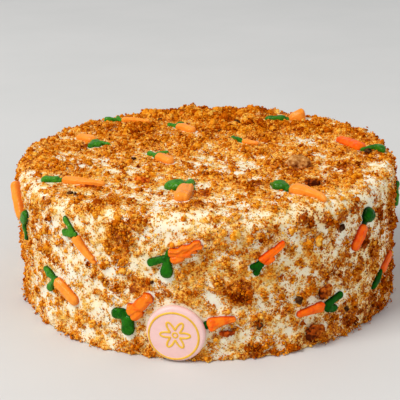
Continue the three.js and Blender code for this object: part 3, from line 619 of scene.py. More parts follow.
def crumb_mesh(name, middles, sizes, tones, shape, rng, rough=0.3, flattest=0.45):
    """Corner = middle + turn * (squash * template corner * size * random push), kept above the floor."""
    template, faces = crumb_template(*shape)
    count = len(middles)
    push = 1 + rough * rng.uniform(-1, 1, (count, len(template), 1))
    squash = rng.uniform(flattest, 1.25, (count, 1, 3))
    corners = template[None] * push * squash * sizes[:, None, None]
    corners = np.einsum("cij,cvj->cvi", turned(count, rng), corners) + middles[:, None, :]
    corners[..., 2] = np.maximum(corners[..., 2], LOWEST)
    every = (faces[None] + (np.arange(count) * len(template))[:, None, None]).reshape(-1, 3)
    mesh = mesh_from(name, corners, every, smooth=len(template) > 6)
    shade = tones[:, None] + 0.08 * rng.uniform(-1, 1, (count, len(template)))
    note(mesh, "tone", np.clip(shade, 0, 1))
    print(name + ":", count, "crumbs,", len(every), "triangles")
    return mesh


print("the lowest crumbs end %.2f mm over the floor" % LOWEST)

# %% [markdown]
# Crumbs are sticky and fall in clumps. A clump has a lumpy clod of cake at its core, and many crumbs pick a
# clump and land on and around it, while the rest land anywhere. A place is kept with a chance that follows
# how thickly crumbs lie.

# %% Draw places
SPARING = 0.12  # how much thicker than asked the crumbs must lie for a place to be kept
ring_share = np.cumsum(np.hypot(*along(net_tape, 0.0)[:, :2].T))
ring_share = (ring_share - ring_share[0]) / (ring_share[-1] - ring_share[0])


def draw_places(count, rng, keep_from, keep_to):
    """Places with an equal chance for each bit of skin, kept more often where crumbs lie thickly."""
    found, total = [], 0
    while total < count:
        tape_at = np.interp(rng.random(2 * count), ring_share, net_tape)
        turn_at = rng.uniform(0, 2 * math.pi, 2 * count)
        chance = smooth_step(read(thick, tape_at, turn_at), keep_from + SPARING, keep_to + SPARING)
        keep = rng.random(2 * count) < chance
        found.append(np.c_[tape_at[keep], turn_at[keep]])
        total += keep.sum()
    return np.concatenate(found)[:count]


CLUMPS, CORE = 3400, 0.60
rng = np.random.default_rng(30)
clump_at = draw_places(CLUMPS, rng, 0.3, 1.2)
clump_size = 1.1 + 3.0 * rng.random(CLUMPS) ** 1.8
up_there = clump_at[:, 0] > RISE + ARC
back = smooth_step(along(clump_at[:, 0], clump_at[:, 1])[:, 1], 10, 90) * up_there
clump_size *= 1 + 0.60 * back
clump_free = read(free_room, clump_at[:, 0], clump_at[:, 1])
clump_size = np.minimum(clump_size, np.maximum(np.where(up_there, 0.34, 0.8) * clump_free, 0.6))
clump_toast_and_shade = read(toast_and_shade, clump_at[:, 0], clump_at[:, 1])
clump_tone = 0.13 * rng.normal(size=CLUMPS)
clump_kind = rng.random(CLUMPS) + 1.1 * clump_toast_and_shade
clump_share = np.cumsum(clump_size**2) / (clump_size**2).sum()
print("clumps:", len(clump_at))

# %% Scatter crumbs
SPARE = 1.16  # places drawn for each one asked for, because some fall on a topping
DOME = 0.70  # height of a clod by its half width
HUG = 0.17  # how steeply crumbs may pile up away from a topping
RAISED = 0.2  # how far a crumb's middle stands over the cream, by its size


def scatter(count, low, high, seed, clumps, loose, keep):
    """Middles, sizes and tones of crumbs, loose or on and round a clod, and clear of the toppings."""
    rng = np.random.default_rng(seed)
    extra = int(count * SPARE)
    places = draw_places(extra, rng, *keep)
    sizes = low + (high - low) * rng.random(extra) ** 1.7
    which = np.searchsorted(clump_share, rng.random(extra))
    reach = loose * np.sqrt(rng.random(extra)) * rng.uniform(0.7, 1.3, extra)
    angle = rng.uniform(0, 2 * math.pi, extra)
    spread = (reach * clump_size[which])[:, None] * np.c_[np.cos(angle), np.sin(angle)]
    across = np.maximum(np.hypot(*along(clump_at[which, 0], 0.0)[:, :2].T), 4)
    dome = DOME * CORE * clump_size[which] * np.sqrt(np.maximum(1 - (reach / CORE) ** 2, 0))
    clumped = rng.random(extra) < clumps
    near = clump_at[which] + spread / np.c_[np.ones(extra), across]
    places[clumped] = near[clumped]
    lift = np.where(clumped, dome, 0)
    tones = np.where(clumped, clump_tone[which] + 0.12 * (0.8 - reach), 0)
    inside = (places[:, 0] > 0.3) & (places[:, 0] < TAPE - 0.5)
    free = read(free_room, places[:, 0], places[:, 1])
    kept = np.flatnonzero(inside & (free > 0.15 * sizes - 0.25))[:count]
    places, sizes, lift, tones, free = places[kept], sizes[kept], lift[kept], tones[kept], free[kept]
    tones = tones + read(toast_and_shade, places[:, 0], places[:, 1])
    lift = np.minimum(lift, HUG * np.maximum(free, 0)) + read(relief, places[:, 0], places[:, 1])
    lift = lift + RAISED * sizes
    return on_skin(along(places[:, 0], places[:, 1]), lift), sizes, tones, rng


print("places drawn for 1000 crumbs:", int(1000 * SPARE))


# %% [markdown]
# ## Colours and finishes
# Cream, crumb and icing are all made from the same few node groups. A group takes its colours as inputs
# and gives back a colour, a roughness and a height, so each finish can place it with its own values.

# %% Helpers for node trees


def node(tree, kind, inputs=None, **settings):
    """Adds a node, sets its properties, then fills or links its inputs by name or number."""
    made = tree.nodes.new(kind)
    for key, value in settings.items():
        setattr(made, key, value)
    for key, value in (inputs or {}).items():
        if isinstance(value, bpy.types.NodeSocket):
            tree.links.new(value, made.inputs[key])
        else:
            made.inputs[key].default_value = value
    return made


def place_in(tree):
    """The place on the piece, in metres."""
    return node(tree, "ShaderNodeTexCoord").outputs["Object"]


def stored(tree, name):
    """A number that was stored for each vertex."""
    return node(tree, "ShaderNodeAttribute", attribute_name=name).outputs["Fac"]


def noise(tree, where, scale, detail=2.0, **more):
    """Smooth noise with about scale bumps to the metre."""
    inputs = {"Vector": where, "Scale": scale, "Detail": detail, **more}
    return node(tree, "ShaderNodeTexNoise", inputs).outputs[0]


def cells_of(tree, where, scale):
    """Voronoi cells, about scale to the metre: distance from the middle, and random numbers by cell."""
    cells = node(tree, "ShaderNodeTexVoronoi", {"Vector": where, "Scale": scale})
    numbers = node(tree, "ShaderNodeSeparateColor", {0: cells.outputs["Color"]})
    return cells.outputs["Distance"], numbers.outputs


def mixed(tree, share, first, second):
    """A colour mix: first where share is 0 and second where it is 1."""
    made = node(tree, "ShaderNodeMix", {0: share, 6: first, 7: second}, data_type="RGBA")
    return made.outputs[2]


def stepped(tree, value, low, high):
    """Maps low..high to 0..1 with a smooth start and end."""
    made = node(tree, "ShaderNodeMapRange", {0: value, 1: low, 2: high}, interpolation_type="SMOOTHSTEP")
    return made.outputs[0]


print("colour mixes, steps and patterns can be placed")

# %% Arithmetic between nodes


def calc(tree, operation, a, b):
    """One arithmetic step."""
    return node(tree, "ShaderNodeMath", {0: a, 1: b}, operation=operation).outputs[0]


def times(tree, a, b):
    """a * b."""
    return calc(tree, "MULTIPLY", a, b)


def minus(tree, a, b):
    """a - b."""
    return calc(tree, "SUBTRACT", a, b)


def plus(tree, total, *others):
    """Two or more values added up."""
    for other in others:
        total = calc(tree, "ADD", total, other)
    return total


def swing(tree, value, amount):
    """Turns a value about 0.5 into one that swings about 0: (value - 0.5) * amount."""
    return times(tree, minus(tree, value, 0.5), amount)


print("values can be added, taken away and multiplied")

# %% An empty group
RESULTS = {"Color": "NodeSocketColor", "Roughness": "NodeSocketFloat", "Height": "NodeSocketFloat"}


def new_group(name, inputs):
    """An empty group with named inputs at their usual values. Every group gives the same three results."""
    group = bpy.data.node_groups.new(name, "ShaderNodeTree")
    for label, value in inputs.items():
        kind = "NodeSocketColor" if isinstance(value, tuple) else "NodeSocketFloat"
        group.interface.new_socket(name=label, in_out="INPUT", socket_type=kind).default_value = value
    for label, kind in RESULTS.items():
        group.interface.new_socket(name=label, in_out="OUTPUT", socket_type=kind)
    return group, group.nodes.new("NodeGroupInput").outputs, group.nodes.new("NodeGroupOutput").inputs


print("a group gives:", ", ".join(RESULTS))

# %% The toasted crumb group
toasted, given, gives = new_group("Toasted crumb", {
    "Tone": 0.5, "Pale": (0.9, 0.6, 0.25, 1), "Golden": (0.7, 0.33, 0.07, 1), "Brown": (0.25, 0.08, 0.015, 1),
    "Grain": 950.0,
})
where = place_in(toasted)
grain = noise(toasted, where, given["Grain"], 3.0, Roughness=0.6)
wide_grain = noise(toasted, where, 330.0)
from_middle, cell = cells_of(toasted, where, given["Grain"])
# painted shade: a darker tone at the edges of the cells, in the crevices between the small crumbs
seam_shade = times(toasted, stepped(toasted, from_middle, 0.45, 0.85), 0.20)
stir = plus(toasted, swing(toasted, grain, 0.4), swing(toasted, wide_grain, 0.35),
            swing(toasted, cell[0], 0.34), seam_shade)
shade = plus(toasted, given["Tone"], stir)
pale_part = mixed(toasted, stepped(toasted, shade, 0.15, 0.5), given["Pale"], given["Golden"])
full = mixed(toasted, stepped(toasted, shade, 0.5, 0.95), pale_part, given["Brown"])
dome = times(toasted, minus(toasted, 1.0, from_middle), 0.9)
toasted.links.new(full, gives["Color"])
toasted.links.new(stepped(toasted, grain, -0.6, 0.9), gives["Roughness"])
toasted.links.new(plus(toasted, times(toasted, grain, 0.4), dome), gives["Height"])
print("nodes in", toasted.name + ":", len(toasted.nodes))

# %% The piped icing group
FINE = 900.0  # bumps to the metre in the finest noise
icing, given, gives = new_group("Piped icing", {
    "Color": (1, 0.5, 0.1, 1), "Deep": (0.8, 0.2, 0.02, 1), "Shade tone": (0.4, 0.1, 0.01, 1), "Shade share": 0.0,
    "Gloss": 0.35, "Size": 260.0,
})
where = place_in(icing)
swirl = noise(icing, where, given["Size"], 3.0, Distortion=0.6)
fine = noise(icing, where, FINE)
body = mixed(icing, stepped(icing, swirl, 0.38, 0.72), given["Color"], given["Deep"])
# painted shade: the deeper tone, darkened, where the icing meets the cream, with a ragged border
frayed_shade = plus(icing, given["Shade share"], swing(icing, fine, 0.5))
icing.links.new(mixed(icing, stepped(icing, frayed_shade, 0.1, 1.0), body, given["Shade tone"]), gives["Color"])
icing.links.new(plus(icing, given["Gloss"], swing(icing, swirl, 0.25)), gives["Roughness"])
icing.links.new(plus(icing, times(icing, swirl, 0.6), times(icing, fine, 0.4)), gives["Height"])
print("nodes in", icing.name + ":", len(icing.nodes))

# %% Finishes made from the groups
CRUMB_RELIEF, CREAM_RELIEF = 0.0004, 0.0005  # metres


def blank(name):
    """A new material with only a Principled shader and its output."""
    made = bpy.data.materials.new(name)
    made.use_nodes = True
    return made, made.node_tree, made.node_tree.nodes["Principled BSDF"]


def dressed(tree, shader, color, roughness, height, depth, specular):
    """Leads a colour, a roughness and a height into the shader. A Bump node makes the height a relief."""
    tree.links.new(color, shader.inputs["Base Color"])
    tree.links.new(roughness, shader.inputs["Roughness"])
    bump = node(tree, "ShaderNodeBump", {"Height": height, "Distance": depth, "Strength": 1.0})
    tree.links.new(bump.outputs[0], shader.inputs["Normal"])
    shader.inputs["Specular IOR Level"].default_value = specular


def icing_finish(name, color, deep, gloss, size, depth, specular, rim):
    """Piped icing: its deeper tone in swirls, and painted shade where it meets the cream: that tone darkened
    by rim.
    """
    made, tree, shader = blank(name)
    group = node(tree, "ShaderNodeGroup", {
        "Shade share": stored(tree, "edge"), "Color": (*color, 1), "Deep": (*deep, 1),
        "Shade tone": (deep[0] * math.sqrt(rim), deep[1] * rim, deep[2] * rim, 1), "Gloss": gloss, "Size": size,
    }, node_tree=icing)
    dressed(tree, shader, *group.outputs, depth, specular)
    return made


def crumb_finish(name, pale, golden, brown, grain=950.0):
    """Toasted crumb: its tone comes from the crumb's own attribute."""
    made, tree, shader = blank(name)
    group = node(tree, "ShaderNodeGroup", {
        "Tone": stored(tree, "tone"), "Pale": (*pale, 1), "Golden": (*golden, 1), "Brown": (*brown, 1),
        "Grain": grain,
    }, node_tree=toasted)
    dressed(tree, shader, *group.outputs, CRUMB_RELIEF, 0.0)
    return made


print("depth of the relief: %.1f mm on crumbs and %.1f mm on cream" % (CRUMB_RELIEF / MM, CREAM_RELIEF / MM))

# %% Every crumb, nut and icing
PALE = (0.97, 0.54, 0.090)
gold_crumb = crumb_finish("golden crumb", PALE, (0.84, 0.29, 0.009), (0.47, 0.095, 0.001))
amber_crumb = crumb_finish("amber crumb", (0.90, 0.34, 0.020), (0.66, 0.155, 0.003), (0.34, 0.045, 0.0008))
brown_crumb = crumb_finish("brown crumb", (0.60, 0.14, 0.004), (0.36, 0.055, 0.001), (0.15, 0.016, 0.0004))
dark_crumb = crumb_finish("dark crumb", (0.12, 0.045, 0.015), (0.05, 0.018, 0.007), (0.02, 0.008, 0.004))
nut_finish = crumb_finish(
    "toasted nut", (0.55, 0.14, 0.012), (0.33, 0.053, 0.005), (0.06, 0.010, 0.003), 700.0)
walnut_finish = crumb_finish(
    "walnut", (0.74, 0.40, 0.14), (0.50, 0.19, 0.04), (0.20, 0.055, 0.010), 700.0)
red_finish = crumb_finish(
    "baked carrot shred", (0.88, 0.24, 0.02), (0.58, 0.09, 0.008), (0.25, 0.03, 0.004), 500.0)
ICINGS = {
    # colour, deeper tone, roughness, swirls to the metre, depth of the relief, specular level, rim (how dark
    # the painted shade is where the icing meets the cream)
    "orange icing": ((0.97, 0.33, 0.030), (0.94, 0.26, 0.014), 0.26, 260.0, 0.0004, 0.22, 0.5),
    "mid orange icing": ((0.97, 0.22, 0.007), (0.90, 0.100, 0.002), 0.22, 260.0, 0.0006, 0.16, 0.3),
    "deep orange icing": ((0.96, 0.15, 0.002), (0.88, 0.072, 0.001), 0.22, 260.0, 0.0006, 0.11, 0.3),
    "green icing": ((0.058, 0.262, 0.008), (0.014, 0.130, 0.003), 0.16, 260.0, 0.0008, 0.16, 0.3),
    "dull green icing": ((0.042, 0.195, 0.006), (0.014, 0.110, 0.002), 0.16, 260.0, 0.0008, 0.13, 0.3),
    "mid green icing": ((0.016, 0.155, 0.003), (0.004, 0.075, 0.001), 0.15, 260.0, 0.0007, 0.09, 0.3),
    "deep green icing": ((0.004, 0.095, 0.001), (0.001, 0.045, 0.0005), 0.15, 260.0, 0.0007, 0.06, 0.3),
    "pink sugar": ((0.93, 0.61, 0.57), (0.90, 0.56, 0.52), 0.42, 120.0, 0.00008, 0.4, 0.3),
    "gold icing": ((0.90, 0.53, 0.045), (0.80, 0.42, 0.02), 0.35, 300.0, 0.0001, 0.4, 0.3),
}
icings = {name: icing_finish(name, *row) for name, row in ICINGS.items()}
print("finishes:", [finish.name for finish in bpy.data.materials])

# %% [markdown]
# The cream itself is white, faintly yellow, and smooth. Where crumbs were pressed in, their dust stains it
# golden, and the finest of them cover it like a carpet, with still finer specks all over. A Voronoi pattern
# of cells about a millimetre wide stands for these: each cell has a random number, and it is a crumb if that
# number is below the stored "dust", so they crowd in the drifts.

# %% The dust in the cream
DUST_CELLS, SPECK_CELLS, SHAKE = 850.0, 1350.0, 0.0006
cream, tree, shader = blank("crumbed cream")
where, dust_at, toast_and_shade_at = place_in(tree), stored(tree, "dust"), stored(tree, "toast_and_shade")
shake = node(tree, "ShaderNodeTexNoise", {"Vector": where, "Scale": FINE, "Detail": 2.0}).outputs["Color"]
shaken = node(tree, "ShaderNodeMix", {0: SHAKE, 4: where, 5: shake}, data_type="VECTOR").outputs[1]
from_middle, cell = cells_of(tree, shaken, DUST_CELLS)
wanted = stepped(tree, dust_at, 0.25, 1.25)
is_crumb = stepped(tree, minus(tree, times(tree, wanted, 1.25), cell[0]), -0.02, 0.06)
edge = calc(tree, "MAXIMUM", stepped(tree, from_middle, 0.75, 0.45), stepped(tree, wanted, 0.35, 0.8))
crumb_mask = times(tree, is_crumb, edge)
# painted shade: the dust crumbs are darker where the drifts are thick, for the shade in the gaps between
# crumbs
gap_shade = times(tree, stepped(tree, dust_at, 0.75, 1.30), 0.24)
tone = plus(tree, times(tree, cell[1], 0.65), plus(tree, toast_and_shade_at, gap_shade))
dust = node(tree, "ShaderNodeGroup", {
    "Tone": tone, "Pale": (*PALE, 1), "Golden": (0.78, 0.24, 0.008, 1), "Brown": (0.34, 0.058, 0.002, 1),
}, node_tree=toasted)
print("dust cells are about %.1f mm wide" % (1000 / DUST_CELLS))

# %% The white of the cream, its stain and its specks
soft = noise(tree, where, 60.0, 3.0)
white = mixed(tree, stepped(tree, soft, 0.35, 0.7), (0.95, 0.89, 0.705, 1), (0.93, 0.82, 0.55, 1))
stain = times(tree, stepped(tree, dust_at, 0.12, 0.90), stepped(tree, soft, 0.2, 0.6))
white = mixed(tree, times(tree, stain, 0.9), white, (0.95, 0.56, 0.10, 1))
from_speck, speck = cells_of(tree, shaken, SPECK_CELLS)
some = times(tree, stepped(tree, dust_at, 0.0, 1.0), 0.42)
is_speck = stepped(tree, minus(tree, some, speck[0]), -0.03, 0.05)
speck_mask = times(tree, is_speck, stepped(tree, from_speck, 0.8, 0.45))
speck_color = mixed(tree, speck[2], (0.84, 0.42, 0.05, 1), (0.42, 0.13, 0.008, 1))
white = mixed(tree, speck_mask, white, speck_color)
print("nodes in the cream so far:", len(tree.nodes))

# %% Close the finish and show the frosting
ripples = noise(tree, where, 190.0, 3.0)
dome = times(tree, crumb_mask, minus(tree, 1.0, from_middle))
dome = calc(tree, "MAXIMUM", dome, times(tree, speck_mask, 0.4))
color = mixed(tree, crumb_mask, white, dust.outputs["Color"])
height = plus(tree, times(tree, ripples, 0.5), dome)
dressed(tree, shader, color, stepped(tree, crumb_mask, -1.2, 1.3), height, CREAM_RELIEF, 0.3)
shader.inputs["Subsurface Weight"].default_value = 0.12
shader.inputs["Subsurface Radius"].default_value = (1.0, 0.7, 0.4)
shader.inputs["Subsurface Scale"].default_value = 0.0015
on_cake(frosting_mesh, cream)
print("frosting in place")

# %% [markdown]
# ## Rolling the cake in crumbs
# First come the clods at the cores of the clumps, then crumbs from fine grains to small nuggets. Grains are
# many and lie everywhere, and larger ones are fewer and keep to the drifts.

# %% Set down the clods
CLODS = [
    # name, least and most toasted, finish, seed
    ("clods_gold", -9, 0.50, gold_crumb, 51), ("clods_amber", 0.50, 0.95, amber_crumb, 52),
    ("clods_brown", 0.95, 9, brown_crumb, 53),
]
for name, least, most, finish, seed in CLODS:
    mine = (clump_kind >= least) & (clump_kind < most) & (clump_size > 1.2) & (clump_at[:, 0] > 1.5)
    tape_at, turn_at = clump_at[mine].T
    sizes, tones = CORE * clump_size[mine], 0.50 + clump_tone[mine] + clump_toast_and_shade[mine]
    lift = read(relief, tape_at, turn_at) - (0.30 - 0.35 * back[mine]) * sizes
    middles = on_skin(along(tape_at, turn_at), lift)
    on_cake(crumb_mesh(name, middles, sizes, tones, CLOD, np.random.default_rng(seed), 0.34, 0.62), finish)

# %% Scatter every kind of crumb
KINDS = [
    # name, count, least and largest radius, shape, finish, seed, share in clumps, looseness, thickness at
    # which they start and are all there, tone
    ("grains_gold", 21000, 0.28, 0.60, GRAIN, gold_crumb, 31, 0.40, 1.4, (-0.40, 0.90), 0.32),
    ("grains_amber", 17000, 0.28, 0.58, GRAIN, amber_crumb, 32, 0.52, 1.2, (-0.25, 0.95), 0.42),
    ("grains_brown", 8000, 0.28, 0.55, GRAIN, brown_crumb, 33, 0.70, 1.0, (0.10, 1.10), 0.36),
    ("crumbs_gold", 11500, 0.50, 0.98, CRUMB, gold_crumb, 34, 0.52, 1.2, (-0.15, 1.05), 0.37),
    ("crumbs_amber", 11000, 0.50, 0.95, CRUMB, amber_crumb, 35, 0.62, 1.0, (0.00, 1.05), 0.44),
    ("crumbs_brown", 4500, 0.45, 0.90, CRUMB, brown_crumb, 36, 0.75, 0.9, (0.30, 1.15), 0.36),
    ("nuggets_gold", 1800, 0.85, 1.60, NUGGET, gold_crumb, 37, 0.65, 1.0, (0.25, 1.10), 0.42),
    ("nuggets_amber", 1700, 0.85, 1.60, NUGGET, amber_crumb, 38, 0.70, 0.9, (0.30, 1.15), 0.48),
    ("nuggets_brown", 600, 0.80, 1.40, NUGGET, brown_crumb, 39, 0.80, 0.8, (0.45, 1.20), 0.34),
    ("dark_specks", 3200, 0.22, 0.50, GRAIN, dark_crumb, 40, 0.10, 1.5, (-0.60, 0.60), 0.40),
]
for name, count, least, most, shape, finish, seed, clumping, loose, keep, usual in KINDS:
    middles, sizes, tones, rng = scatter(count, least, most, seed, clumping, loose, keep)
    tones = usual + tones + 0.15 * rng.normal(size=len(sizes))
    on_cake(crumb_mesh(name, middles, sizes, tones, shape, rng), finish)

# %% [markdown]
# Round the foot, crumbs that fell off lie against the cake in a loose and uneven band.

# %% The fallen crumbs round the foot
for name, count, least, most, finish, seed in [
    ("foot_crumbs_gold", 2300, 0.30, 1.1, gold_crumb, 41),
    ("foot_crumbs_amber", 2300, 0.30, 1.2, amber_crumb, 42),
]:
    rng = np.random.default_rng(seed)
    turn = rng.uniform(0, 2 * math.pi, count)
    sizes = least + (most - least) * rng.random(count) ** 2.2
    out = rng.exponential(0.7, count)
    low = np.stack([RADIUS * np.sin(turn), -RADIUS * np.cos(turn), 0.55 * sizes], axis=-1)
    keep = rng.random(count) < 0.35 + 0.45 * mottle(low, 11, 43) + 0.25 * mottle(low, 5, 44)
    keep &= read(free_room, 0 * turn, turn) > 0.6 * sizes
    low, sizes, out, turn = low[keep], sizes[keep], np.minimum(out[keep], 3.0), turn[keep]
    low[:, 2] += np.maximum(3.0 - 1.1 * out, 0) * rng.random(len(out)) ** 1.5
    tones = 0.40 + 0.17 * rng.normal(size=len(sizes)) + read(toast_and_shade, 0 * turn, turn)
    on_cake(crumb_mesh(name, on_skin(low, 0.2 + out), sizes, tones, CRUMB, rng), finish)

# %% [markdown]
# ## Bits of nut and shreds of carrot
# Among the crumbs lie larger bits: broken walnut, and a few shreds of baked carrot. Each is a short, bent
# and lumpy log: a circle carried along a line, with mottle pushing its skin in and out.

# %% Build the bits
BITS = [
    # kind, place, heading, length, radius, finish, tone at both ends
    ("top", 56, -31.5, -14, 16, 5.0, walnut_finish, 0.3, 0.6),
    ("top", 60.5, -69, -30, 9.5, 3.0, nut_finish, 0.6, 0.9),
    ("top", -38, -56, -32, 11, 2.0, red_finish, 0.3, 0.5),
    ("side", 29.3, 9, 24, 13, 3.7, nut_finish, 0.95, 0.15),
    ("side", 32.7, 32, 42, 10.5, 2.8, nut_finish, 0.7, 0.2),
    ("side", 30.2, 64, 80, 7, 2.0, gold_crumb, 0.15, 0.35),
    ("side", 7, 73.5, 30, 6.5, 2.3, gold_crumb, 0.4, 0.2),
    ("side", 24.3, 31.6, 10, 5, 1.8, dark_crumb, 0.2, 0.6),
    ("side", 13.3, 19.2, 70, 4.6, 1.5, dark_crumb, 0.0, 0.4),
    ("side", 4.6, 17.0, 0, 9, 1.7, red_finish, 0.5, 0.9),
    ("top", -70, -65, -4, 14, 1.1, red_finish, 0.5, 0.8),
    ("top", 22, 74, 80, 6, 1.9, dark_crumb, 0.1, 0.4), ("top", 103, -5, 60, 6, 1.9, dark_crumb, 0.1, 0.6),
    ("top", -33, 82, 80, 5, 1.5, dark_crumb, 0.2, 0.5), ("top", 10, 50, 60, 5, 1.4, dark_crumb, 0.1, 0.4),
    ("top", -78, -75, 10, 4, 1.1, dark_crumb, 0.1, 0.5),
    ("top", -74, -77, -30, 3.5, 0.9, dark_crumb, 0.1, 0.5),
    ("side", 41, 16.5, -50, 4, 1.3, dark_crumb, 0.1, 0.5),
    ("top", -48, 64, 80, 4, 1.1, dark_crumb, 0.1, 0.5),
    ("top", -46, -12, 30, 4, 1.1, dark_crumb, 0.2, 0.5),
    ("top", 88, -57, 20, 8, 2.3, gold_crumb, 0.8, 0.5),
    ("side", 38, 68, 70, 4.5, 1.4, dark_crumb, 0.2, 0.9),
    ("side", -15, 46, 20, 3, 0.9, dark_crumb, 0.1, 0.5),
    ("side", 112, 60, 30, 10, 2.6, nut_finish, 0.3, 0.7),
    ("side", 155, 48, -30, 9, 2.4, walnut_finish, 0.3, 0.6),
    ("side", 176, 20, 60, 8, 2.0, red_finish, 0.4, 0.8),
    ("side", 222, 18, 20, 11, 2.8, nut_finish, 0.8, 0.3),
    ("side", 246, 46, -60, 9, 2.2, red_finish, 0.3, 0.6),
    ("side", 270, 22, 10, 9, 2.4, walnut_finish, 0.5, 0.2),
    ("side", 134, 30, 50, 4.5, 1.4, dark_crumb, 0.1, 0.5),
    ("side", 202, 52, 10, 4, 1.2, dark_crumb, 0.1, 0.5),
    ("top", 40, 92, 15, 9, 2.3, walnut_finish, 0.2, 0.5),
    ("top", -18, 96, -20, 8, 2.0, red_finish, 0.3, 0.5),
    ("top", 65, 50, 40, 6, 1.8, nut_finish, 0.4, 0.8),
]


def bit_mesh(name, row, seed):
    """Middle line bowed by a tenth of its length; radius = round ends * (1 + mottle)."""
    kind, a, b, heading, length, radius, _, tone, last_tone = row
    patch = patch_at(kind, a, b, heading)
    t = ((1 - np.cos(np.pi * np.linspace(0.02, 0.98, 21))) / 2)[:, None]
    turn = np.linspace(0, 2 * np.pi, 24, endpoint=False)[None, :]
    girth = radius * np.sqrt(1 - np.abs(2 * t - 1) ** 2.4)
    u = (t - 0.5) * length + 0 * turn
    side, up = girth * np.cos(turn), girth * 0.8 * np.sin(turn)
    where = np.stack([u, side, up], -1)
    rough = 1 + 0.15 * mottle(where, 1.4 * radius, seed)
    rough = rough + 0.15 * mottle(where, 0.6 * radius, seed + 1, (2, 1, 1))
    bow = 0.1 * length * np.random.default_rng(seed).uniform(-1, 1) * (1 - (2 * t - 1) ** 2)
    skin = lay(patch, u, bow + side * rough, 0.45 * radius + up * rough)
    skin[..., 2] = np.maximum(skin[..., 2], 0.1)
    points, faces = closed_tube(skin)
    mesh = mesh_from(name, points, faces)
    share = np.append(np.repeat(t[:, 0], turn.size), [0, 1])
    note(mesh, "tone", np.clip(tone + (last_tone - tone) * share + 0.2 * mottle(points, 3, seed + 2), 0, 1))
    return mesh


for number, row in enumerate(BITS):
    on_cake(bit_mesh("bit_%02d" % (number + 1), row, 500 + 7 * number), row[6])
print("bits:", len(BITS))

# %% [markdown]
# ## Piped carrots
# The icing bag leaves a tube with a domed top and round ends, and its back beds into the cream. Most roots
# were piped with two or three passes side by side, and the seams between these strands are what makes a
# piped carrot look piped. So a root is a bundle of strands, and a leaf is a bundle of lobes with a collar
# under the root. A voxel remesh melts each bundle into one skin, and a little smoothing softens the seams.
# Fine ridges run along each strand. Shade is painted where the icing meets the cream, darker and with a
# ragged border, so the height of each point over the cream is stored as "edge" for this painted shade at the
# icing's rim; it is deeper on the side than on the top.

# %% Ways to pipe a root
LOOKS = {
    # strands: from and to (shares of the length), offset at both (shares of the half width), width, height,
    # and where a strand wriggles, how far and how often
    "plain": [(0, 1, 0, 0, 1, 1)],
    "groove": [(0, 1, -0.34, -0.16, 0.66, 1), (0.04, 0.88, 0.60, 0.52, 0.44, 0.95)],
    "creased": [(0, 1, 0.1, 0, 0.80, 0.90), (0.02, 0.30, -0.5, -0.55, 0.52, 1.1),
                (0.2, 0.98, 0.60, 0.4, 0.38, 1.05),
                (0.26, 0.74, -0.62, -0.5, 0.36, 1.0), (0.45, 0.97, -0.1, -0.45, 0.36, 1.12)],
    "tee": [(0.0, 0.36, 0, 0, 1.04, 0.88), (0.0, 0.6, 0.10, 0.06, 0.64, 1), (0.3, 1, 0.05, 0, 0.86, 1),
            (0.70, 1.0, 0, 0.04, 1.16, 1.0), (0.0, 0.42, -0.50, -0.62, 0.54, 0.95)],
    "lumpy": [(0, 1, 0.06, 0, 0.90, 1), (0.0, 0.34, -0.42, -0.5, 0.56, 1.02),
              (0.34, 0.8, 0.35, 0.3, 0.6, 1.0)],
    "twisted": [(0, 1, 0.22, -0.1, 0.66, 1.0), (0.02, 0.80, 0.72, 0.62, 0.36, 0.98),
                (0.0, 0.50, -0.60, -0.70, 0.42, 1.05),
                (0.30, 0.97, -0.2, 0.3, 0.36, 1.15)],
    "forked": [(0, 1, 0.30, 0.10, 0.54, 1.0, 0.08, 1.5), (0.02, 0.44, -0.20, -0.80, 0.60, 1.15),
               (0.25, 0.97, -0.20, -0.46, 0.44, 1.1, 0.14, 1), (0.0, 0.62, 0.66, 0.62, 0.34, 0.9)],
    "frilled": [(0, 1, 0.30, 0.25, 0.52, 0.95, 0.10, 2.2), (0.04, 0.97, 0.70, 0.58, 0.30, 1.15, 0.14, 2.6),
                (0.00, 0.42, -0.46, -0.56, 0.62, 1.10), (0.34, 0.58, -0.25, -0.90, 0.40, 1.0),
                (0.56, 0.78, -0.20, -0.85, 0.38, 0.9), (0.18, 0.98, -0.22, -0.30, 0.36, 1.05, 0.20, 1.8)],
    "slab": [(0, 1, 0, 0, 1, 0.95)],
    "block": [(0, 1, -0.20, -0.16, 0.84, 1.0), (0.0, 0.97, 0.42, 0.44, 0.58, 0.90)],
}
BOXY = {"slab": 0.42, "block": 0.5, "plain": 0.68, "blade": 0.62}
print("ways to pipe:", ", ".join(LOOKS))

# %% The skin of one strand
STEPS, ROUND = 40, 56
BED, PROUD, RIDGES = 1.1, 0.25, 7  # depth under the cream and lift over it in millimetres, ridges round


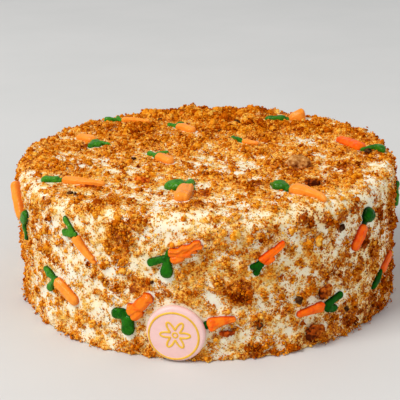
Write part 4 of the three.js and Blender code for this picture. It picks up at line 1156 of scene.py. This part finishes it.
def tube(patch, stroke, strand, look, seed, lump=0.1, sharp=1.0, ridge=0.06):
    """Across: half width * cos. Up: crest * sin ** boxy, with a shallow bed below. The ends are rounded, and
    mottle and fine ridges push the upper side in and out."""
    start, stop, off_start, off_stop, width, height, wave, waves = (*strand, 0, 1)[:8]
    t = (1 - np.cos(np.pi * np.linspace(0, 1, STEPS))) / 2
    u, v, way, half, crest = follow(stroke, start + (stop - start) * t)
    offset = (off_start + (off_stop - off_start) * t + wave * np.sin(2 * np.pi * waves * t)) * half
    u, v = u - offset * np.sin(way), v + offset * np.cos(way)
    half, crest = half * width, crest * height
    reach, length = t * stroke["length"] * (stop - start), stroke["length"] * (stop - start)
    first, final = half[0], half[-1] * sharp
    from_end = np.minimum(np.minimum(reach / first, (length - reach) / final), 1)
    ends = np.sqrt(np.maximum(1 - (1 - from_end) ** 2, 0))[:, None]
    turn = np.linspace(0, 2 * np.pi, ROUND, endpoint=False)[None, :]
    c, s = np.cos(turn), np.sin(turn)
    above = np.maximum(s, 0)
    where = np.stack([reach[:, None] + 0 * c, half[:, None] * c, crest[:, None] * s], -1)
    push = lump * (mottle(where, 6, seed) + 0.5 * mottle(where, 2.6, seed + 1))
    push = (push + ridge * np.cos(RIDGES * turn + np.sin(reach[:, None] / 3 + seed))) * ends * above**0.5
    side = half[:, None] * ends * np.sign(c) * np.abs(c) ** 0.9 + push * c
    rounded = above ** BOXY.get(look, 0.8)
    up = np.where(s > 0, crest[:, None] * ends**0.8 * rounded + push * s, BED * s * ends)
    ahead, aside = np.cos(way)[:, None], np.sin(way)[:, None]
    return closed_tube(lay(patch, u[:, None] - side * aside, v[:, None] + side * ahead, PROUD + up))


def melted(name, parts, voxel, rounds):
    """Joins overlapping tubes into one skin with a voxel remesh, smooths the joins, and stores the rim of
    painted shade.
    """
    shift = np.cumsum([0] + [len(points) for points, _ in parts])
    rough = mesh_from(name + "_parts", np.concatenate([points for points, _ in parts]),
                      np.concatenate([faces + shift[k] for k, (_, faces) in enumerate(parts)]))
    thing = placed(name + "_parts", rough)
    remesh = thing.modifiers.new("melt", "REMESH")
    remesh.mode, remesh.voxel_size = "VOXEL", voxel * MM
    relax = thing.modifiers.new("relax", "SMOOTH")
    relax.factor, relax.iterations = 0.5, rounds
    seen = thing.evaluated_get(bpy.context.evaluated_depsgraph_get())
    mesh = bpy.data.meshes.new_from_object(seen)
    mesh.name = name
    bpy.data.objects.remove(thing)
    bpy.data.meshes.remove(rough)
    mesh.polygons.foreach_set("use_smooth", np.full(len(mesh.polygons), True))
    corners = np.empty(3 * len(mesh.vertices), dtype=np.float32)
    mesh.vertices.foreach_get("co", corners)
    corners = corners.reshape(-1, 3) / MM
    rise = np.linalg.norm(corners - on_skin(corners), axis=1)
    # painted shade where the icing meets the cream: full strength on the side, half on the top
    deepest_shade, share = (0.5, 0.6) if corners[:, 2].mean() > HEIGHT - 2 else (1.0, 0.9)
    note(mesh, "edge", deepest_shade * (1 - smooth_step(rise, 0, share * np.percentile(rise, 95))))
    return mesh


print("points in one tube:", STEPS * ROUND + 2)


# %% Pipe every carrot
WHOLE = (0, 1, 0, 0, 1, 1)
ROOT_VOXEL, LEAF_VOXEL = 0.26, 0.28
# painted shade: deeper copies of the icings for these carrots, most on the right half; middle copies for
# three at the front
SHADED_COPY_CARROTS = {"top_10", "side_04", "side_05", "side_06", "side_07", "side_08", "side_09", "side_10",
                "side_12", "side_15", "side_16", "side_18"}
MID_ROOTS, MID_LEAVES = {"side_04", "side_05", "side_06"}, {"side_04", "side_05"}
DULL_LEAVES = {"top_07", "top_08", "top_09", "top_10"}


def icings_of(name):
    """The icings of a carrot's root and leaf: the bright ones, or deeper copies of them that are painted
    shade.
    """
    root, leaf = "orange icing", "dull green icing" if name in DULL_LEAVES else "green icing"
    if name in SHADED_COPY_CARROTS:
        root = ("mid " if name in MID_ROOTS else "deep ") + root
        if name.startswith("side"):
            leaf = ("mid " if name in MID_LEAVES else "deep ") + leaf
    return icings[root], icings[leaf]


piped_faces = 0
for number, (name, row) in enumerate(CARROTS.items()):
    patch, look, seed = patch_at(*row[:4]), row[4], 700 + 20 * number
    root, lobes = strokes_of(row)
    root_icing, leaf_icing = icings_of(name)
    ridge = 0.22 if look in ("plain", "slab") else 0.12
    parts = [tube(patch, root, strand, look, seed + 2 * k, ridge=ridge)
             for k, strand in enumerate(LOOKS[look])]
    root_mesh = melted("carrot_root_" + name, parts, ROOT_VOXEL, 2)
    piece(root_mesh, root_icing, "orange_icing", "root_" + name)
    collar = stroke_of(1.4, 180, 3.4, 0.80 * root["wide"], min(0.62 * root["wide"], 2.4))
    parts = [tube(patch, collar, (0, 1, 0, 0, 1, 0.7), "blade", seed + 9)]
    for k, lobe in enumerate(lobes):
        sharp = 1.8 if lobe["narrow"] < 1.7 else 1.15
        parts.append(tube(patch, lobe, WHOLE, "blade", seed + 11 + 2 * k, lump=0.16, sharp=sharp))
    leaf_mesh = melted("carrot_leaf_" + name, parts, LEAF_VOXEL, 3)
    piece(leaf_mesh, leaf_icing, "green_icing", "leaf_" + name)
    piped_faces += len(root_mesh.polygons) + len(leaf_mesh.polygons)
print("four-sided faces in all carrots:", piped_faces)

# %% [markdown]
# ## The sugar medallion
# A tablet of pink sugar paste leans flat against the cake's foot. It is turned on a lathe in effect: a
# rounded outline spun about its own axis, with a crown so low that it only shows as a soft highlight. Its
# ornament is a thin gold ring and a plain rosette, piped as half-round lines.

# %% Turn the medallion
yaw_turn = medallion_turn - math.radians(MEDALLION["yaw"])
face_out = np.array([math.sin(yaw_turn), -math.cos(yaw_turn), 0.0])
face_right = np.array([math.cos(yaw_turn), math.sin(yaw_turn), 0.0])


def on_medallion(x, y, off):
    """x to the right and y up on the face, off outwards from its flat back."""
    up = np.array([0, 0, 1.0])
    return medallion_foot + x[..., None] * face_right + y[..., None] * up + off[..., None] * face_out


def crown(r):
    """Height of the face at radius r: a low dome that drops in a quarter circle at the edge."""
    edge = 1.7
    inner = MEDALLION["radius"] - edge
    drop = edge - np.sqrt(np.maximum(edge**2 - np.maximum(r - inner, 0) ** 2, 0))
    return MEDALLION["thick"] - 0.5 * (r / MEDALLION["radius"]) ** 2 - drop


face_r = MEDALLION["radius"] * np.sin(np.linspace(0.02, np.pi / 2, 40))
back_r = np.linspace(MEDALLION["radius"], 1.0, 6)
outline_r = np.concatenate([face_r, [MEDALLION["radius"]], back_r - 0.5])[:, None]
outline_z = np.concatenate([crown(face_r), [0.6], np.full(6, 0.0)])[:, None]
spin = np.linspace(0, 2 * np.pi, 128, endpoint=False)
wobble = 1 + 0.004 * np.sin(3 * spin + 1) + 0.003 * np.sin(5 * spin)
points, faces = closed_tube(on_medallion(
    outline_r * wobble * np.cos(spin), outline_r * wobble * np.sin(spin), outline_z + 0 * spin))
piece(mesh_from("sugar_tablet", points, faces[:, ::-1]), icings["pink sugar"], "sugar_medallion", "medallion")
print("medallion: %.1f mm across" % (2 * MEDALLION["radius"]))

# %% Pipe its ornament


def gold_line(name, x, y, width):
    """A closed half-round line on the face: a small circle carried along the path (x, y)."""
    turn = np.linspace(0, 2 * np.pi, 10, endpoint=False)
    dx, dy = np.roll(x, -1) - np.roll(x, 1), np.roll(y, -1) - np.roll(y, 1)
    length = np.hypot(dx, dy)
    nx, ny = -dy / length, dx / length
    px = x[:, None] + width * nx[:, None] * np.cos(turn)
    py = y[:, None] + width * ny[:, None] * np.cos(turn)
    off = crown(np.hypot(px, py)) + 0.55 * width * np.sin(turn)
    skin = on_medallion(px, py, off)
    mesh = mesh_from(name, skin, grid_faces(*skin.shape[:2], ring=True))
    piece(mesh, icings["gold icing"], "sugar_medallion", "medallion")


path = np.linspace(0, 2 * np.pi, 240, endpoint=False)
petal = 5.8 + 2.6 * np.cos(6 * path)
gold_line("medallion_ring", 14.0 * np.cos(path) - 0.9, 14.0 * np.sin(path) - 0.9, 0.62)
gold_line("medallion_rosette", petal * np.cos(path), petal * np.sin(path), 0.62)
gold_line("medallion_eye", 1.4 * np.cos(path[::4]), 1.4 * np.sin(path[::4]), 0.50)
print("gold lines: a ring, a rosette with six petals and its eye")

# %% [markdown]
# ## Floor, light and camera
# The cake stands on a plain pale floor under soft studio light: a large key lamp high on the left, a
# weak fill on the right, and a bright, even sky. The camera looks down on it by about 19 degrees.

# %% Floor and lights
FLOOR_RADIUS, FLOOR_LEVEL, FLOOR_STEPS = 6000, -0.3, 96
AIM = (0, 0, 0.04)  # the middle of the cake, in metres
bpy.context.scene.view_settings.view_transform = "Standard"
floor_ring = np.linspace(0, 2 * np.pi, FLOOR_STEPS, endpoint=False)
floor_points = np.c_[FLOOR_RADIUS * np.cos(floor_ring), FLOOR_RADIUS * np.sin(floor_ring),
                     np.full(FLOOR_STEPS, FLOOR_LEVEL)]
floor_mesh = bpy.data.meshes.new("floor")
floor_mesh.from_pydata((floor_points * MM).tolist(), [], [list(range(FLOOR_STEPS))])
floor = placed("floor", floor_mesh)
stone, tree, shader = blank("pale stone")
cloud = noise(tree, place_in(tree), 3.0, 5.0, Roughness=0.6)
clouded = mixed(tree, stepped(tree, cloud, 0.3, 0.7), (0.645, 0.642, 0.625, 1), (0.68, 0.672, 0.655, 1))
tree.links.new(clouded, shader.inputs["Base Color"])
shader.inputs["Roughness"].default_value = 0.8
floor_mesh.materials.append(stone)


def soft_lamp(name, place, size, power, color):
    """A square lamp at place, aimed at the middle of the cake."""
    data = bpy.data.lights.new(name, "AREA")
    data.shape, data.size, data.energy, data.color = "SQUARE", size, power, color
    lamp = placed(name, data)
    lamp.location = place
    lamp.rotation_euler = (Vector(AIM) - Vector(place)).to_track_quat("-Z", "Y").to_euler()


soft_lamp("key", (-2.2, -1.5, 3.1), 1.7, 126, (1.0, 0.98, 0.95))
soft_lamp("fill", (1.8, -1.2, 1.0), 1.4, 6, (1.0, 0.98, 0.96))
sky = bpy.data.worlds.new("sky")
bpy.context.scene.world = sky
sky.use_nodes = True
light = sky.node_tree.nodes["Background"].inputs
light["Color"].default_value, light["Strength"].default_value = (0.95, 0.97, 1.0, 1), 0.53
print("lamps:", [light.name for light in bpy.data.lights])

# %% Camera
CAMERA = dict(place=(0, -0.60265, 0.26394), pitch=0.3383, yaw=0.0077, roll=0.019, lens=88.15)
camera_data = bpy.data.cameras.new("camera")
camera_data.lens, camera_data.sensor_width = CAMERA["lens"], 36
camera_data.clip_start, camera_data.clip_end = 0.05, 30
camera = placed("camera", camera_data)
bpy.context.scene.camera = camera
c_yaw, s_yaw = math.cos(CAMERA["yaw"]), math.sin(CAMERA["yaw"])
c_pitch, s_pitch = math.cos(CAMERA["pitch"]), math.sin(CAMERA["pitch"])
ahead = Vector((-s_yaw * c_pitch, c_yaw * c_pitch, -s_pitch))
level_right = Vector((c_yaw, s_yaw, 0))
level_up = level_right.cross(ahead)
c_roll, s_roll = math.cos(CAMERA["roll"]), math.sin(CAMERA["roll"])
right = c_roll * level_right - s_roll * level_up
up = s_roll * level_right + c_roll * level_up
turned_camera = Matrix((right, up, -ahead)).transposed().to_4x4()
turned_camera.translation = Vector(CAMERA["place"])
camera.matrix_world = turned_camera
print("camera looks down by %.1f degrees" % math.degrees(CAMERA["pitch"]))
